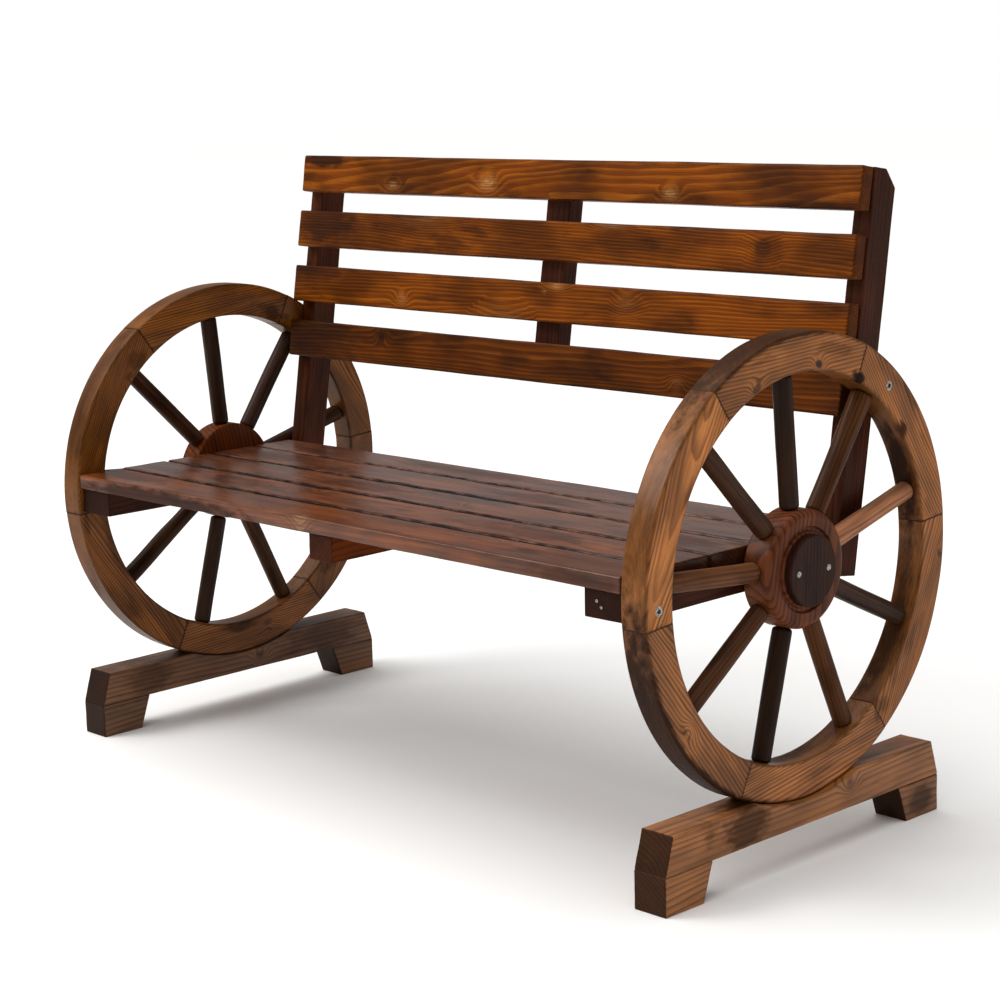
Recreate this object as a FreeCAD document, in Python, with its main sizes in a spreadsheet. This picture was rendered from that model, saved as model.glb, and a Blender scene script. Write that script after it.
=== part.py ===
import FreeCAD, Part
import math
import os
import re

import Sketcher
from FreeCAD import Matrix, Placement, Rotation, Vector

# Garden bench carried by two wagon wheels, each seated in a notched foot.
# Millimetres. X runs along the bench, +Y to its back, +Z up. The origin is on the
# ground, midway between the wheels and straight below their centres.
# Both wheels are bolted to the seat bearers and to the back posts, so nothing turns.

SIZES = [
    ("wheel_diameter", 540.0, "over the rim"),
    ("wheel_spacing", 1004.0, "clear distance between the two rims"),
    ("rim_width", 45.0, "radial width of a felloe"),
    ("rim_thickness", 36.0, "felloe thickness along the axle"),
    ("rim_chamfer", 2.5, "broken edge round each felloe"),
    ("felloe_count", 6, "felloes in one rim"),
    ("joint_angle", 5.0, "first felloe joint, up from the level toward the back"),
    ("spoke_count", 9, "spokes in one wheel"),
    ("spoke_angle", 15.0, "first spoke, up from the level toward the back"),
    ("spoke_diameter", 23.0, "turned dowel"),
    ("shoulder_round", 4.5, "rounding where a spoke steps down to its tenon"),
    ("tenon_diameter", 13.0, "spoke tenon"),
    ("tenon_length", 15.0, "spoke tenon"),
    ("tenon_clearance", 0.15, "between tenon and socket, on the radius"),
    ("socket_extra", 0.5, "socket depth past the tenon's end"),
    ("shoulder_gap", 0.3, "between a spoke's shoulder and hub or rim"),
    ("hub_diameter", 138.0, "turned hub block"),
    ("hub_proud", 3.5, "hub face beyond the rim's outer face"),
    ("hub_recess", 1.0, "hub's inner face behind the rim's inner face"),
    ("hub_round", 8.0, "rounding of the hub's outer edge"),
    ("hub_inner_round", 3.0, "rounding of the hub's inner edge"),
    ("cove_radius", 50.0, "outer radius of the groove turned in the hub face"),
    ("cove_width", 6.5, "width of that groove"),
    ("cove_depth", 3.5, "depth of that groove"),
    ("cove_slope", 1.5, "run-out of the groove's sides"),
    ("cap_diameter", 83.0, "disc screwed to the hub"),
    ("cap_thickness", 9.5, "that disc"),
    ("cap_round", 2.0, "its outer edge"),
    ("cap_screw_offset", 27.0, "screw from the hub's centre"),
    ("screw_diameter", 4.0, "cap screw shank"),
    ("screw_head", 8.0, "cap screw head"),
    ("screw_head_height", 2.4, "countersunk part"),
    ("screw_length", 24.0, "cap screw, overall"),
    ("screw_clearance", 0.15, "round a screw, on the radius"),
    ("foot_width", 46.0, "foot along the axle"),
    ("foot_lap", 2.5, "foot's inner side past the rim's inner face"),
    ("foot_length", 503.0, "foot on its joint line and on the ground"),
    ("foot_top_length", 476.0, "foot along its top"),
    ("beam_height", 44.5, "upper layer of the foot"),
    ("block_height", 45.5, "lower blocks of the foot"),
    ("block_top_length", 80.0, "block under the beam"),
    ("block_bottom_length", 64.0, "block on the ground"),
    ("foot_round", 1.5, "broken edges of the foot's pieces"),
    ("notch_depth", 15.5, "how deep a wheel sits in its foot"),
    ("notch_clearance", 0.2, "round the rim in the notch"),
    ("seat_height", 377.0, "top of the seat above the ground"),
    ("seat_thickness", 19.0, "seat slat"),
    ("seat_slat_count", 5, "slats in the seat"),
    ("seat_slat_width", 72.5, "inner seat slats"),
    ("edge_slat_width", 66.0, "front and rear seat slats"),
    ("seat_slat_gap", 5.7, "between seat slats"),
    ("seat_overhang", 5.5, "seat front beyond the bearers"),
    ("slat_end_gap", 1.5, "between a slat's end and the rim"),
    ("slat_round", 2.5, "rounding of the slats' edges"),
    ("side_bearer_width", 59.5, "bearer bolted to a wheel"),
    ("middle_bearer_width", 43.0, "bearer under the middle of the seat"),
    ("bearer_height", 33.5, "all bearers"),
    ("bearer_margin", 15.0, "front bolt to the bearer's front end"),
    ("bearer_rear_inset", 5.0, "middle bearer's rear end inside the rear slat"),
    ("bearer_round", 1.0, "broken edges of bearers and posts"),
    ("nail_diameter", 4.0, "the two nails in a bearer's end"),
    ("nail_length", 22.0, "those nails"),
    ("nail_proud", 0.6, "nail head above the wood"),
    ("nail_inset", 19.0, "first nail from the bearer's inner side"),
    ("nail_step", 6.5, "second nail further out and lower"),
    ("nail_clearance", 0.1, "round a nail, on the radius"),
    ("back_lean", 9.2, "degrees that the back leans from upright"),
    ("back_gap", 5.9, "rear seat slat to the posts, level with the seat top"),
    ("back_slat_count", 4, "slats in the back"),
    ("back_slat_width", 52.5, "back slat"),
    ("back_slat_pitch", 79.5, "from one back slat to the next"),
    ("back_slat_thickness", 21.0, "back slat"),
    ("back_top", 414.3, "top slat's upper edge, up the slope from the seat top"),
    ("post_thickness", 25.0, "the posts' narrow side"),
    ("post_width", 42.0, "the posts' wide side"),
    ("post_drop", 64.5, "side post's lower end below the seat top"),
    ("post_corner", 20.0, "cut at a side post's rear top corner"),
    ("middle_post_inset", 5.0, "middle post's ends inside the slats' outer edges"),
    ("bolt_diameter", 8.0, "wheel bolt shank"),
    ("bolt_head", 12.0, "wheel bolt head"),
    ("bolt_head_height", 5.0, "wheel bolt head"),
    ("bolt_recess", 0.4, "bolt head below the rim's face"),
    ("bolt_socket", 5.0, "hexagon socket, across its flats"),
    ("bolt_socket_depth", 2.8, "hexagon socket"),
    ("bolt_bite", 18.0, "bolt length in a bearer or post"),
    ("bolt_clearance", 0.2, "round a bolt, on the radius"),
]

doc = FreeCAD.newDocument("WagonWheelBench")
sheet = doc.addObject("Spreadsheet::Sheet", "Sizes")
for row, (alias, number, note) in enumerate(SIZES, start=1):
    sheet.set(f"A{row}", alias)
    sheet.set(f"B{row}", str(number))
    sheet.setAlias(f"B{row}", alias)
    sheet.set(f"C{row}", note)
doc.recompute()

SIDES = {"right": 1, "left": -1}
pieces = []


def size(alias):
    """The number that the sheet holds under this alias."""
    return float(sheet.get(alias))


def bound(text):
    """The sheet expression for a formula written with bare aliases."""
    return re.sub(r"[a-z][a-z_]*", lambda word: QUALIFIED.get(word.group(), word.group()), text)


def number_of(text):
    """The value that such a formula has now."""
    value = sheet.evalExpression(bound(text))
    return float(getattr(value, "Value", value))


QUALIFIED = {alias: f"Sizes.{alias}" for alias, number, note in SIZES}


# ---------------------------------------------------------------- building blocks

def new_body(label):
    body = doc.addObject("PartDesign::Body", label)
    body.Label = label
    pieces.append(body)
    return body


def origin_plane(body, role):
    for feature in body.Origin.OriginFeatures:
        if feature.Role == role:
            return feature
    raise ValueError(role)


def new_sketch(body, name, role, lift="", turn=0.0):
    """A sketch on one of the body's origin planes, turned about the plane's upright
    axis by `turn` degrees and then moved along its own normal by `lift`."""
    sketch = body.newObject("Sketcher::SketchObject", f"{body.Name}_{name}")
    sketch.AttachmentSupport = [(origin_plane(body, role), "")]
    sketch.MapMode = "FlatFace"
    if lift:
        spin = Rotation(Vector(0, 1, 0), turn)
        away = spin.multVec(Vector(0, 0, 1))
        sketch.AttachmentOffset = Placement(away * number_of(lift), spin)
        for axis, share in zip("xyz", away):
            if abs(share) > 1e-12:
                sketch.setExpression(f"AttachmentOffset.Base.{axis}", f"({bound(lift)}) * {share!r}")
    return sketch


def draw_outline(sketch, corners):
    """A closed outline whose corners are bound to formulas."""
    values = [Vector(number_of(across), number_of(up), 0) for across, up in corners]
    for index, start in enumerate(values):
        end = values[(index + 1) % len(values)]
        sketch.addGeometry(Part.LineSegment(start, end), False)
    for index in range(len(values)):
        previous = (index - 1) % len(values)
        sketch.addConstraint(Sketcher.Constraint("Coincident", previous, 2, index, 1))
    for index, (across, up) in enumerate(corners):
        for kind, text, value in (("DistanceX", across, values[index].x), ("DistanceY", up, values[index].y)):
            place = sketch.addConstraint(Sketcher.Constraint(kind, -1, 1, index, 1, value))
            sketch.setExpression(f"Constraints[{place}]", bound(text))


def draw_circle(sketch, across, up, radius):
    centre = Vector(number_of(across), number_of(up), 0)
    sketch.addGeometry(Part.Circle(centre, Vector(0, 0, 1), number_of(radius)), False)
    size_at = sketch.addConstraint(Sketcher.Constraint("Radius", 0, number_of(radius)))
    sketch.setExpression(f"Constraints[{size_at}]", bound(radius))
    for kind, text, value in (("DistanceX", across, centre.x), ("DistanceY", up, centre.y)):
        place = sketch.addConstraint(Sketcher.Constraint(kind, -1, 1, 0, 3, value))
        sketch.setExpression(f"Constraints[{place}]", bound(text))


def pad(body, sketch, length):
    """A prism that spreads equally to both sides of its sketch."""
    feature = body.newObject("PartDesign::Pad", f"{body.Name}_pad")
    feature.Profile = sketch
    feature.SideType = "Symmetric"
    feature.setExpression("Length", bound(length))
    doc.recompute()
    return feature


def revolve(body, sketch, angle="360", both_ways=False):
    """The sketch turned about its own upright axis."""
    feature = body.newObject("PartDesign::Revolution", f"{body.Name}_turned")
    feature.Profile = sketch
    feature.ReferenceAxis = (sketch, ["V_Axis"])
    feature.Midplane = both_ways
    feature.setExpression("Angle", bound(angle))
    doc.recompute()
    return feature


def cut(body, sketch, depth="", outward=False):
    """A pocket against the sketch's normal, or along it; with no depth it goes through."""
    before = body.Shape.Volume
    feature = body.newObject("PartDesign::Pocket", f"{sketch.Name}_cut")
    feature.Profile = sketch
    feature.Reversed = outward
    if depth:
        feature.setExpression("Length", bound(depth))
    else:
        feature.Type = "ThroughAll"
    doc.recompute()
    if body.Shape.Volume > before - 1e-3:
        raise RuntimeError(f"{feature.Name} removes nothing")
    return feature


def soften(body, feature, radius, edges=()):
    """Rounded edges: those named, or all of them."""
    fillet = body.newObject("PartDesign::Fillet", f"{body.Name}_soft")
    fillet.Base = (feature, list(edges) or ["Edge1"])
    fillet.UseAllEdges = not edges
    fillet.setExpression("Radius", bound(radius))
    doc.recompute()
    return fillet


def ring_edges(feature, radius, height):
    """Names of the circular edges of one radius at one height on the body's Z axis."""
    names = []
    for index, edge in enumerate(feature.Shape.Edges, start=1):
        curve = edge.Curve
        if not isinstance(curve, Part.Circle):
            continue
        if abs(curve.Radius - radius) < 1e-4 and abs(curve.Center.z - height) < 1e-4:
            names.append(f"Edge{index}")
    return names


def primitive(kind, name, bindings, base=Vector(), rotation=Rotation()):
    """A Part primitive with its sizes bound to the sheet."""
    item = doc.addObject(kind, name)
    for prop, text in bindings.items():
        item.setExpression(prop, bound(text))
    item.Placement = Placement(base, rotation)
    return item


def group(label, members):
    """Identical fasteners kept as one sub-part of separate solids."""
    item = doc.addObject("Part::Compound", label)
    item.Label = label
    item.Links = members
    pieces.append(item)
    return item


# ---------------------------------------------------------------- shared places

wheel_radius = size("wheel_diameter") / 2
rim_middle = wheel_radius - size("rim_width") / 2
foot_height = size("block_height") + size("beam_height")
axle_height = foot_height - size("notch_depth") + wheel_radius
rim_inner_x = size("wheel_spacing") / 2
rim_middle_x = rim_inner_x + size("rim_thickness") / 2
foot_middle_x = rim_inner_x - size("foot_lap") + size("foot_width") / 2

bearer_top = size("seat_height") - size("seat_thickness")
bearer_middle = bearer_top - size("bearer_height") / 2
front_bolt_y = -math.sqrt(rim_middle ** 2 - (bearer_middle - axle_height) ** 2)
bearer_front = front_bolt_y - size("bearer_margin")
seat_front = bearer_front - size("seat_overhang")

slat_count = int(size("seat_slat_count"))
slat_widths = [size("seat_slat_width")] * slat_count
slat_widths[0] = size("edge_slat_width")
slat_widths[-1] = size("edge_slat_width")
seat_rear = seat_front + sum(slat_widths) + (slat_count - 1) * size("seat_slat_gap")

lean = math.radians(size("back_lean"))
# The posts' front plane passes this far behind the axle line, level with the seat top.
post_front = seat_rear + size("back_gap")


def on_back(across, behind, along):
    """A point of the back: `behind` the posts' front plane, `along` the slope."""
    y = post_front + behind * math.cos(lean) + along * math.sin(lean)
    z = size("seat_height") - behind * math.sin(lean) + along * math.cos(lean)
    return Vector(across, y, z)


def back_placement(across, behind, along):
    return Placement(on_back(across, behind, along), Rotation(Vector(-1, 0, 0), size("back_lean")))


def rear_bolt_along():
    """Where the middle line of a side post crosses the middle of the rim."""
    start = on_back(0, size("post_width") / 2, 0)
    y = start.y
    z = start.z - axle_height
    half = y * math.sin(lean) + z * math.cos(lean)
    return -half + math.sqrt(half ** 2 - (y ** 2 + z ** 2 - rim_middle ** 2))


rear_bolt_s = rear_bolt_along()
rear_bolt = on_back(0, size("post_width") / 2, rear_bolt_s)
BOLT_PLACES = [(front_bolt_y, bearer_middle), (rear_bolt.y, rear_bolt.z)]


def wheel_placement(side, angle):
    """Local Z points out along the axle and local X points at `angle` in the wheel."""
    turn = math.radians(angle)
    out = Vector(side, 0, 0)
    radial = Vector(0, math.cos(turn), math.sin(turn))
    third = out.cross(radial)
    frame = Matrix(
        radial.x, third.x, out.x, side * rim_middle_x,
        radial.y, third.y, out.y, 0,
        radial.z, third.z, out.z, axle_height,
        0, 0, 0, 1,
    )
    return Placement(frame)


# ---------------------------------------------------------------- wheels

def spoke_angles():
    step = 360 / size("spoke_count")
    return [size("spoke_angle") + index * step for index in range(int(size("spoke_count")))]


def turned_between(angle, centre):
    """The angle measured from `centre`, between -180 and 180 degrees."""
    return (angle - centre + 180) % 360 - 180


SOCKET_RADIUS = "tenon_diameter / 2 + tenon_clearance"
SOCKET_DEPTH = "tenon_length + shoulder_gap + socket_extra"
RIM_INNER = "wheel_diameter / 2 - rim_width"


def meets_felloe(local, radius, distance):
    """Whether a hole reaches into a felloe: `local` is its angle from the felloe's middle,
    `distance` how far from the axle it comes nearest to the mitre joint."""
    return abs(local) < 180 / size("felloe_count") + math.degrees(math.asin(radius / distance))


def make_felloe(label, side, centre):
    """One segment of the rim, mitred at both ends, with its sockets and bolt hole.
    A hole that lies across a joint is cut in both of its felloes."""
    body = new_body(label)
    outline = new_sketch(body, "section", "XZ_Plane")
    inner = RIM_INNER
    outer = "wheel_diameter / 2"
    low = "-1 * rim_thickness / 2"
    high = "rim_thickness / 2"
    draw_outline(outline, [
        (f"{inner} + rim_chamfer", low),
        (f"{outer} - rim_chamfer", low),
        (outer, f"{low} + rim_chamfer"),
        (outer, f"{high} - rim_chamfer"),
        (f"{outer} - rim_chamfer", high),
        (f"{inner} + rim_chamfer", high),
        (inner, f"{high} - rim_chamfer"),
        (inner, f"{low} + rim_chamfer"),
    ])
    revolve(body, outline, "360 / felloe_count", both_ways=True)
    for number, angle in enumerate(spoke_angles(), start=1):
        local = side * turned_between(angle, centre)
        if meets_felloe(local, number_of(SOCKET_RADIUS), number_of(inner)):
            socket = new_sketch(body, f"socket_{number}", "YZ_Plane", f"{inner} + {SOCKET_DEPTH}", local)
            draw_circle(socket, "0", "0", SOCKET_RADIUS)
            cut(body, socket)
    shank = "bolt_diameter / 2 + bolt_clearance"
    head = "bolt_head / 2 + bolt_clearance"
    for y, z in BOLT_PLACES:
        angle = math.degrees(math.atan2(z - axle_height, y))
        local = side * turned_between(angle, centre)
        across = f"( {outer} - rim_width / 2 ) * cos( {local!r} deg )"
        up = f"( {outer} - rim_width / 2 ) * sin( {local!r} deg )"
        for name, radius, depth in (("hole", shank, ""), ("seat", head, "bolt_recess + bolt_head_height")):
            if meets_felloe(local, number_of(radius), rim_middle):
                circle = new_sketch(body, f"bolt_{name}", "XY_Plane", high)
                draw_circle(circle, across, up, radius)
                cut(body, circle, depth)
    body.Placement = wheel_placement(side, centre)


def make_spoke(label, side, angle):
    """A turned dowel with a rounded shoulder and a tenon at each end."""
    body = new_body(label)
    outline = new_sketch(body, "profile", "XZ_Plane")
    inner_end = "hub_diameter / 2 + shoulder_gap"
    outer_end = f"{RIM_INNER} - shoulder_gap"
    draw_outline(outline, [
        ("0", f"{inner_end} - tenon_length"),
        ("tenon_diameter / 2", f"{inner_end} - tenon_length"),
        ("tenon_diameter / 2", inner_end),
        ("spoke_diameter / 2", inner_end),
        ("spoke_diameter / 2", outer_end),
        ("tenon_diameter / 2", outer_end),
        ("tenon_diameter / 2", f"{outer_end} + tenon_length"),
        ("0", f"{outer_end} + tenon_length"),
    ])
    turned = revolve(body, outline)
    ends = ring_edges(turned, size("spoke_diameter") / 2, number_of(inner_end))
    ends += ring_edges(turned, size("spoke_diameter") / 2, number_of(outer_end))
    soften(body, turned, "shoulder_round", ends)
    # The dowel's own Z axis is laid along the wheel's local X axis.
    body.Placement = wheel_placement(side, angle).multiply(Placement(Vector(), Rotation(Vector(0, 1, 0), 90)))


def make_hub(label, side):
    """The turned hub block: rounded outer edge, a groove in its face, nine sockets."""
    body = new_body(label)
    outline = new_sketch(body, "profile", "XZ_Plane")
    back = "hub_recess - rim_thickness / 2"
    front = "rim_thickness / 2 + hub_proud"
    floor = f"{front} - cove_depth"
    draw_outline(outline, [
        ("0", back),
        ("hub_diameter / 2", back),
        ("hub_diameter / 2", front),
        ("cove_radius", front),
        ("cove_radius - cove_slope", floor),
        ("cove_radius - cove_width + cove_slope", floor),
        ("cove_radius - cove_width", front),
        ("0", front),
    ])
    turned = revolve(body, outline)
    outer = ring_edges(turned, size("hub_diameter") / 2, number_of(front))
    rounded = soften(body, turned, "hub_round", outer)
    inner = ring_edges(rounded, size("hub_diameter") / 2, number_of(back))
    soften(body, rounded, "hub_inner_round", inner)
    socket = new_sketch(body, "socket", "YZ_Plane", f"hub_diameter / 2 - ( {SOCKET_DEPTH} )")
    draw_circle(socket, "0", "0", SOCKET_RADIUS)
    first = cut(body, socket, outward=True)
    before = body.Shape.Volume
    pattern = body.newObject("PartDesign::PolarPattern", f"{body.Name}_sockets")
    pattern.Originals = [first]
    pattern.Axis = (outline, ["V_Axis"])
    pattern.setExpression("Occurrences", bound("spoke_count"))
    body.Tip = pattern
    doc.recompute()
    if body.Shape.Volume > before - 1:
        raise RuntimeError(f"{label} has too few sockets")
    for name, sign in (("near", -1), ("far", 1)):
        pilot = new_sketch(body, f"pilot_{name}", "XY_Plane", front)
        across, up = screw_place(side, sign)
        draw_circle(pilot, across, up, "screw_diameter / 2 + screw_clearance")
        cut(body, pilot, "screw_length - cap_thickness + socket_extra")
    body.Placement = wheel_placement(side, size("spoke_angle"))


def screw_place(side, sign):
    """A cap screw in the hub's own frame: the two lie level with the axle."""
    turn = side * size("spoke_angle")
    return (f"{sign} * cap_screw_offset * cos( {turn!r} deg )", f"{-sign} * cap_screw_offset * sin( {turn!r} deg )")


def make_cap(label, side):
    """The disc on the hub's face, with two countersunk screw holes."""
    body = new_body(label)
    outline = new_sketch(body, "profile", "XZ_Plane")
    floor = "rim_thickness / 2 + hub_proud"
    front = f"{floor} + cap_thickness"
    draw_outline(outline, [
        ("0", floor),
        ("cap_diameter / 2", floor),
        ("cap_diameter / 2", front),
        ("0", front),
    ])
    turned = revolve(body, outline)
    edge = ring_edges(turned, size("cap_diameter") / 2, number_of(front))
    soften(body, turned, "cap_round", edge)
    for name, sign in (("near", -1), ("far", 1)):
        across, up = screw_place(side, sign)
        hole = new_sketch(body, f"hole_{name}", "XY_Plane", front)
        draw_circle(hole, across, up, "screw_diameter / 2 + screw_clearance")
        cut(body, hole)
        sink = new_sketch(body, f"sink_{name}", "XY_Plane", front)
        draw_circle(sink, across, up, "screw_head / 2 + screw_clearance")
        cut(body, sink, "screw_head_height")
    body.Placement = wheel_placement(side, size("spoke_angle"))


def make_cap_screws():
    """Countersunk screws that hold the caps to the hubs."""
    screws = []
    top_x = rim_middle_x + size("rim_thickness") / 2 + size("hub_proud") + size("cap_thickness")
    for side in SIDES.values():
        inward = Rotation(Vector(0, 1, 0), -90 * side)
        for sign in (-1, 1):
            index = len(screws) + 1
            top = Vector(side * top_x, sign * size("cap_screw_offset"), axle_height)
            head = primitive("Part::Cone", f"screw_head_{index}", {
                "Radius1": "screw_head / 2",
                "Radius2": "screw_diameter / 2",
                "Height": "screw_head_height",
            }, top, inward)
            shank = primitive("Part::Cylinder", f"screw_shank_{index}", {
                "Radius": "screw_diameter / 2",
                "Height": "screw_length",
            }, top, inward)
            screw = doc.addObject("Part::Fuse", f"screw_{index}")
            screw.Base = head
            screw.Tool = shank
            screws.append(screw)
    group("cap_screws", screws)


def make_wheel_bolts():
    """Socket-head bolts from the rims into the bearers and posts."""
    bolts = []
    top_x = rim_inner_x + size("rim_thickness") - size("bolt_recess")
    for side in SIDES.values():
        inward = Rotation(Vector(0, 1, 0), -90 * side)
        for y, z in BOLT_PLACES:
            index = len(bolts) + 1
            top = Vector(side * top_x, y, z)
            head = primitive("Part::Cylinder", f"bolt_head_{index}", {
                "Radius": "bolt_head / 2",
                "Height": "bolt_head_height",
            }, top, inward)
            shank = primitive("Part::Cylinder", f"bolt_shank_{index}", {
                "Radius": "bolt_diameter / 2",
                "Height": "rim_thickness - bolt_recess + bolt_bite",
            }, top, inward)
            solid = doc.addObject("Part::Fuse", f"bolt_solid_{index}")
            solid.Base = head
            solid.Tool = shank
            hexagon = primitive("Part::Prism", f"bolt_socket_{index}", {
                "Circumradius": "bolt_socket / 2 / cos( 30 deg )",
                "Height": "bolt_socket_depth",
            }, top, inward)
            hexagon.Polygon = 6
            bolt = doc.addObject("Part::Cut", f"bolt_{index}")
            bolt.Base = solid
            bolt.Tool = hexagon
            bolts.append(bolt)
    group("wheel_bolts", bolts)


def make_wheel(name, side):
    step = 360 / size("felloe_count")
    for index in range(int(size("felloe_count"))):
        centre = size("joint_angle") + (index + 0.5) * step
        make_felloe(f"{name}_felloe_{index + 1}", side, centre)
    for index, angle in enumerate(spoke_angles(), start=1):
        make_spoke(f"{name}_spoke_{index}", side, angle)
    make_hub(f"{name}_hub", side)
    make_cap(f"{name}_hub_cap", side)


# ---------------------------------------------------------------- feet

def make_foot(name, side):
    """A beam with an arc notch for the wheel, on a block at each end."""
    beam = new_body(f"{name}_foot_beam")
    outline = new_sketch(beam, "side", "YZ_Plane")
    draw_outline(outline, [
        ("-1 * foot_length / 2", "0"),
        ("foot_length / 2", "0"),
        ("foot_top_length / 2", "beam_height"),
        ("-1 * foot_top_length / 2", "beam_height"),
    ])
    solid = pad(beam, outline, "foot_width")
    soften(beam, solid, "foot_round")
    notch = new_sketch(beam, "notch", "YZ_Plane")
    draw_circle(
        notch, "0", "beam_height - notch_depth + wheel_diameter / 2", "wheel_diameter / 2 + notch_clearance",
    )
    before = beam.Shape.Volume
    pocket = beam.newObject("PartDesign::Pocket", f"{beam.Name}_notch_cut")
    pocket.Profile = notch
    pocket.SideType = "Symmetric"
    pocket.Type = "ThroughAll"
    doc.recompute()
    if beam.Shape.Volume > before - 1:
        raise RuntimeError("the notch removes nothing")
    beam.Placement = Placement(Vector(side * foot_middle_x, 0, size("block_height")), Rotation())
    for end, turn in (("front", 0), ("rear", 180)):
        block = new_body(f"{name}_foot_block_{end}")
        shape = new_sketch(block, "side", "YZ_Plane")
        draw_outline(shape, [
            ("0", "0"),
            ("block_bottom_length", "0"),
            ("block_top_length", "block_height"),
            ("0", "block_height"),
        ])
        prism = pad(block, shape, "foot_width")
        soften(block, prism, "foot_round")
        spin = Rotation(Vector(0, 0, 1), turn)
        corner = spin.multVec(Vector(0, -size("foot_length") / 2, 0))
        block.Placement = Placement(corner + Vector(side * foot_middle_x, 0, 0), spin)


# ---------------------------------------------------------------- seat

def make_seat():
    """Slats on three bearers; the side bearers reach back to the posts."""
    front = seat_front
    for index, width in enumerate(slat_widths, start=1):
        body = new_body(f"seat_slat_{index}")
        outline = new_sketch(body, "end", "YZ_Plane")
        across = "edge_slat_width" if index in (1, slat_count) else "seat_slat_width"
        draw_outline(outline, [
            ("0", "-1 * seat_thickness"),
            (across, "-1 * seat_thickness"),
            (across, "0"),
            ("0", "0"),
        ])
        board = pad(body, outline, "wheel_spacing - 2 * slat_end_gap")
        soften(body, board, "slat_round")
        body.Placement = Placement(Vector(0, front, size("seat_height")), Rotation())
        front += width + size("seat_slat_gap")


def make_side_bearer(name, side):
    """A bearer on the wheel's inner side, cut at the rear to meet its post."""
    body = new_body(f"{name}_bearer")
    outline = new_sketch(body, "side", "YZ_Plane")
    upper = post_front - size("seat_thickness") * math.tan(lean) - bearer_front
    lower = upper - size("bearer_height") * math.tan(lean)
    draw_outline(outline, [
        ("0", "-1 * bearer_height"),
        (repr(lower), "-1 * bearer_height"),
        (repr(upper), "0"),
        ("0", "0"),
    ])
    prism = pad(body, outline, "side_bearer_width")
    soften(body, prism, "bearer_round")
    hole = new_sketch(body, "bolt_hole", "YZ_Plane", f"{side} * side_bearer_width / 2")
    draw_circle(hole, "bearer_margin", "-1 * bearer_height / 2", "bolt_diameter / 2 + bolt_clearance")
    cut(body, hole, "bolt_bite + socket_extra", outward=side < 0)
    if name == "right":
        for index in (0, 1):
            nail = new_sketch(body, f"nail_hole_{index + 1}", "XZ_Plane")
            across, up = nail_place(index)
            draw_circle(nail, across, up, "nail_diameter / 2 + nail_clearance")
            cut(body, nail, "nail_length - nail_proud + socket_extra")
    middle_x = side * (rim_inner_x - size("side_bearer_width") / 2)
    body.Placement = Placement(Vector(middle_x, bearer_front, bearer_top), Rotation())


def nail_place(index):
    """A nail in the bearer's front end, from the middle of its top edge."""
    across = f"-1 * side_bearer_width / 2 + nail_inset + {index} * nail_step"
    return across, f"-1 * bearer_height / 2 + ( 0.5 - {index} ) * nail_step"


def make_nails():
    """Two nails driven into the right bearer's front end."""
    nails = []
    left = rim_inner_x - size("side_bearer_width") / 2
    for index in (0, 1):
        across, up = (number_of(text) for text in nail_place(index))
        start = Vector(left + across, bearer_front - size("nail_proud"), bearer_top + up)
        nails.append(primitive("Part::Cylinder", f"nail_{index + 1}", {
            "Radius": "nail_diameter / 2",
            "Height": "nail_length",
        }, start, Rotation(Vector(1, 0, 0), -90)))
    group("bearer_nails", nails)


def make_middle_bearer():
    """The plain bearer under the middle of the seat."""
    body = new_body("middle_bearer")
    outline = new_sketch(body, "side", "YZ_Plane")
    length = seat_rear - size("bearer_rear_inset") - bearer_front
    draw_outline(outline, [
        ("0", "-1 * bearer_height"),
        (repr(length), "-1 * bearer_height"),
        (repr(length), "0"),
        ("0", "0"),
    ])
    prism = pad(body, outline, "middle_bearer_width")
    soften(body, prism, "bearer_round")
    body.Placement = Placement(Vector(0, bearer_front, bearer_top), Rotation())


# ---------------------------------------------------------------- back

def make_back_slats():
    for index in range(int(size("back_slat_count"))):
        body = new_body(f"back_slat_{index + 1}")
        outline = new_sketch(body, "end", "YZ_Plane")
        draw_outline(outline, [
            ("-1 * back_slat_thickness", "-1 * back_slat_width"),
            ("0", "-1 * back_slat_width"),
            ("0", "0"),
            ("-1 * back_slat_thickness", "0"),
        ])
        board = pad(body, outline, "wheel_spacing - 2 * slat_end_gap")
        soften(body, board, "slat_round")
        body.Placement = back_placement(0, 0, size("back_top") - index * size("back_slat_pitch"))


def make_side_post(name, side):
    """A post standing behind the seat, bolted to the rim, its rear top corner cut off."""
    body = new_body(f"{name}_post")
    outline = new_sketch(body, "side", "YZ_Plane")
    draw_outline(outline, [
        ("0", "-1 * post_drop"),
        ("post_width", "-1 * post_drop"),
        ("post_width", "back_top - post_corner"),
        ("post_width - post_corner", "back_top"),
        ("0", "back_top"),
    ])
    prism = pad(body, outline, "post_thickness")
    soften(body, prism, "bearer_round")
    hole = new_sketch(body, "bolt_hole", "YZ_Plane", f"{side} * post_thickness / 2")
    draw_circle(hole, "post_width / 2", repr(rear_bolt_s), "bolt_diameter / 2 + bolt_clearance")
    cut(body, hole, "bolt_bite + socket_extra", outward=side < 0)
    body.Placement = back_placement(side * (rim_inner_x - size("post_thickness") / 2), 0, 0)


def make_middle_post():
    """A post turned flat that ties the back slats at mid-length."""
    body = new_body("middle_post")
    outline = new_sketch(body, "side", "YZ_Plane")
    low = "back_top - ( back_slat_count - 1 ) * back_slat_pitch - back_slat_width + middle_post_inset"
    draw_outline(outline, [
        ("0", low),
        ("post_thickness", low),
        ("post_thickness", "back_top - middle_post_inset"),
        ("0", "back_top - middle_post_inset"),
    ])
    prism = pad(body, outline, "post_width")
    soften(body, prism, "bearer_round")
    body.Placement = back_placement(0, 0, 0)


# ---------------------------------------------------------------- assembly

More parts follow.
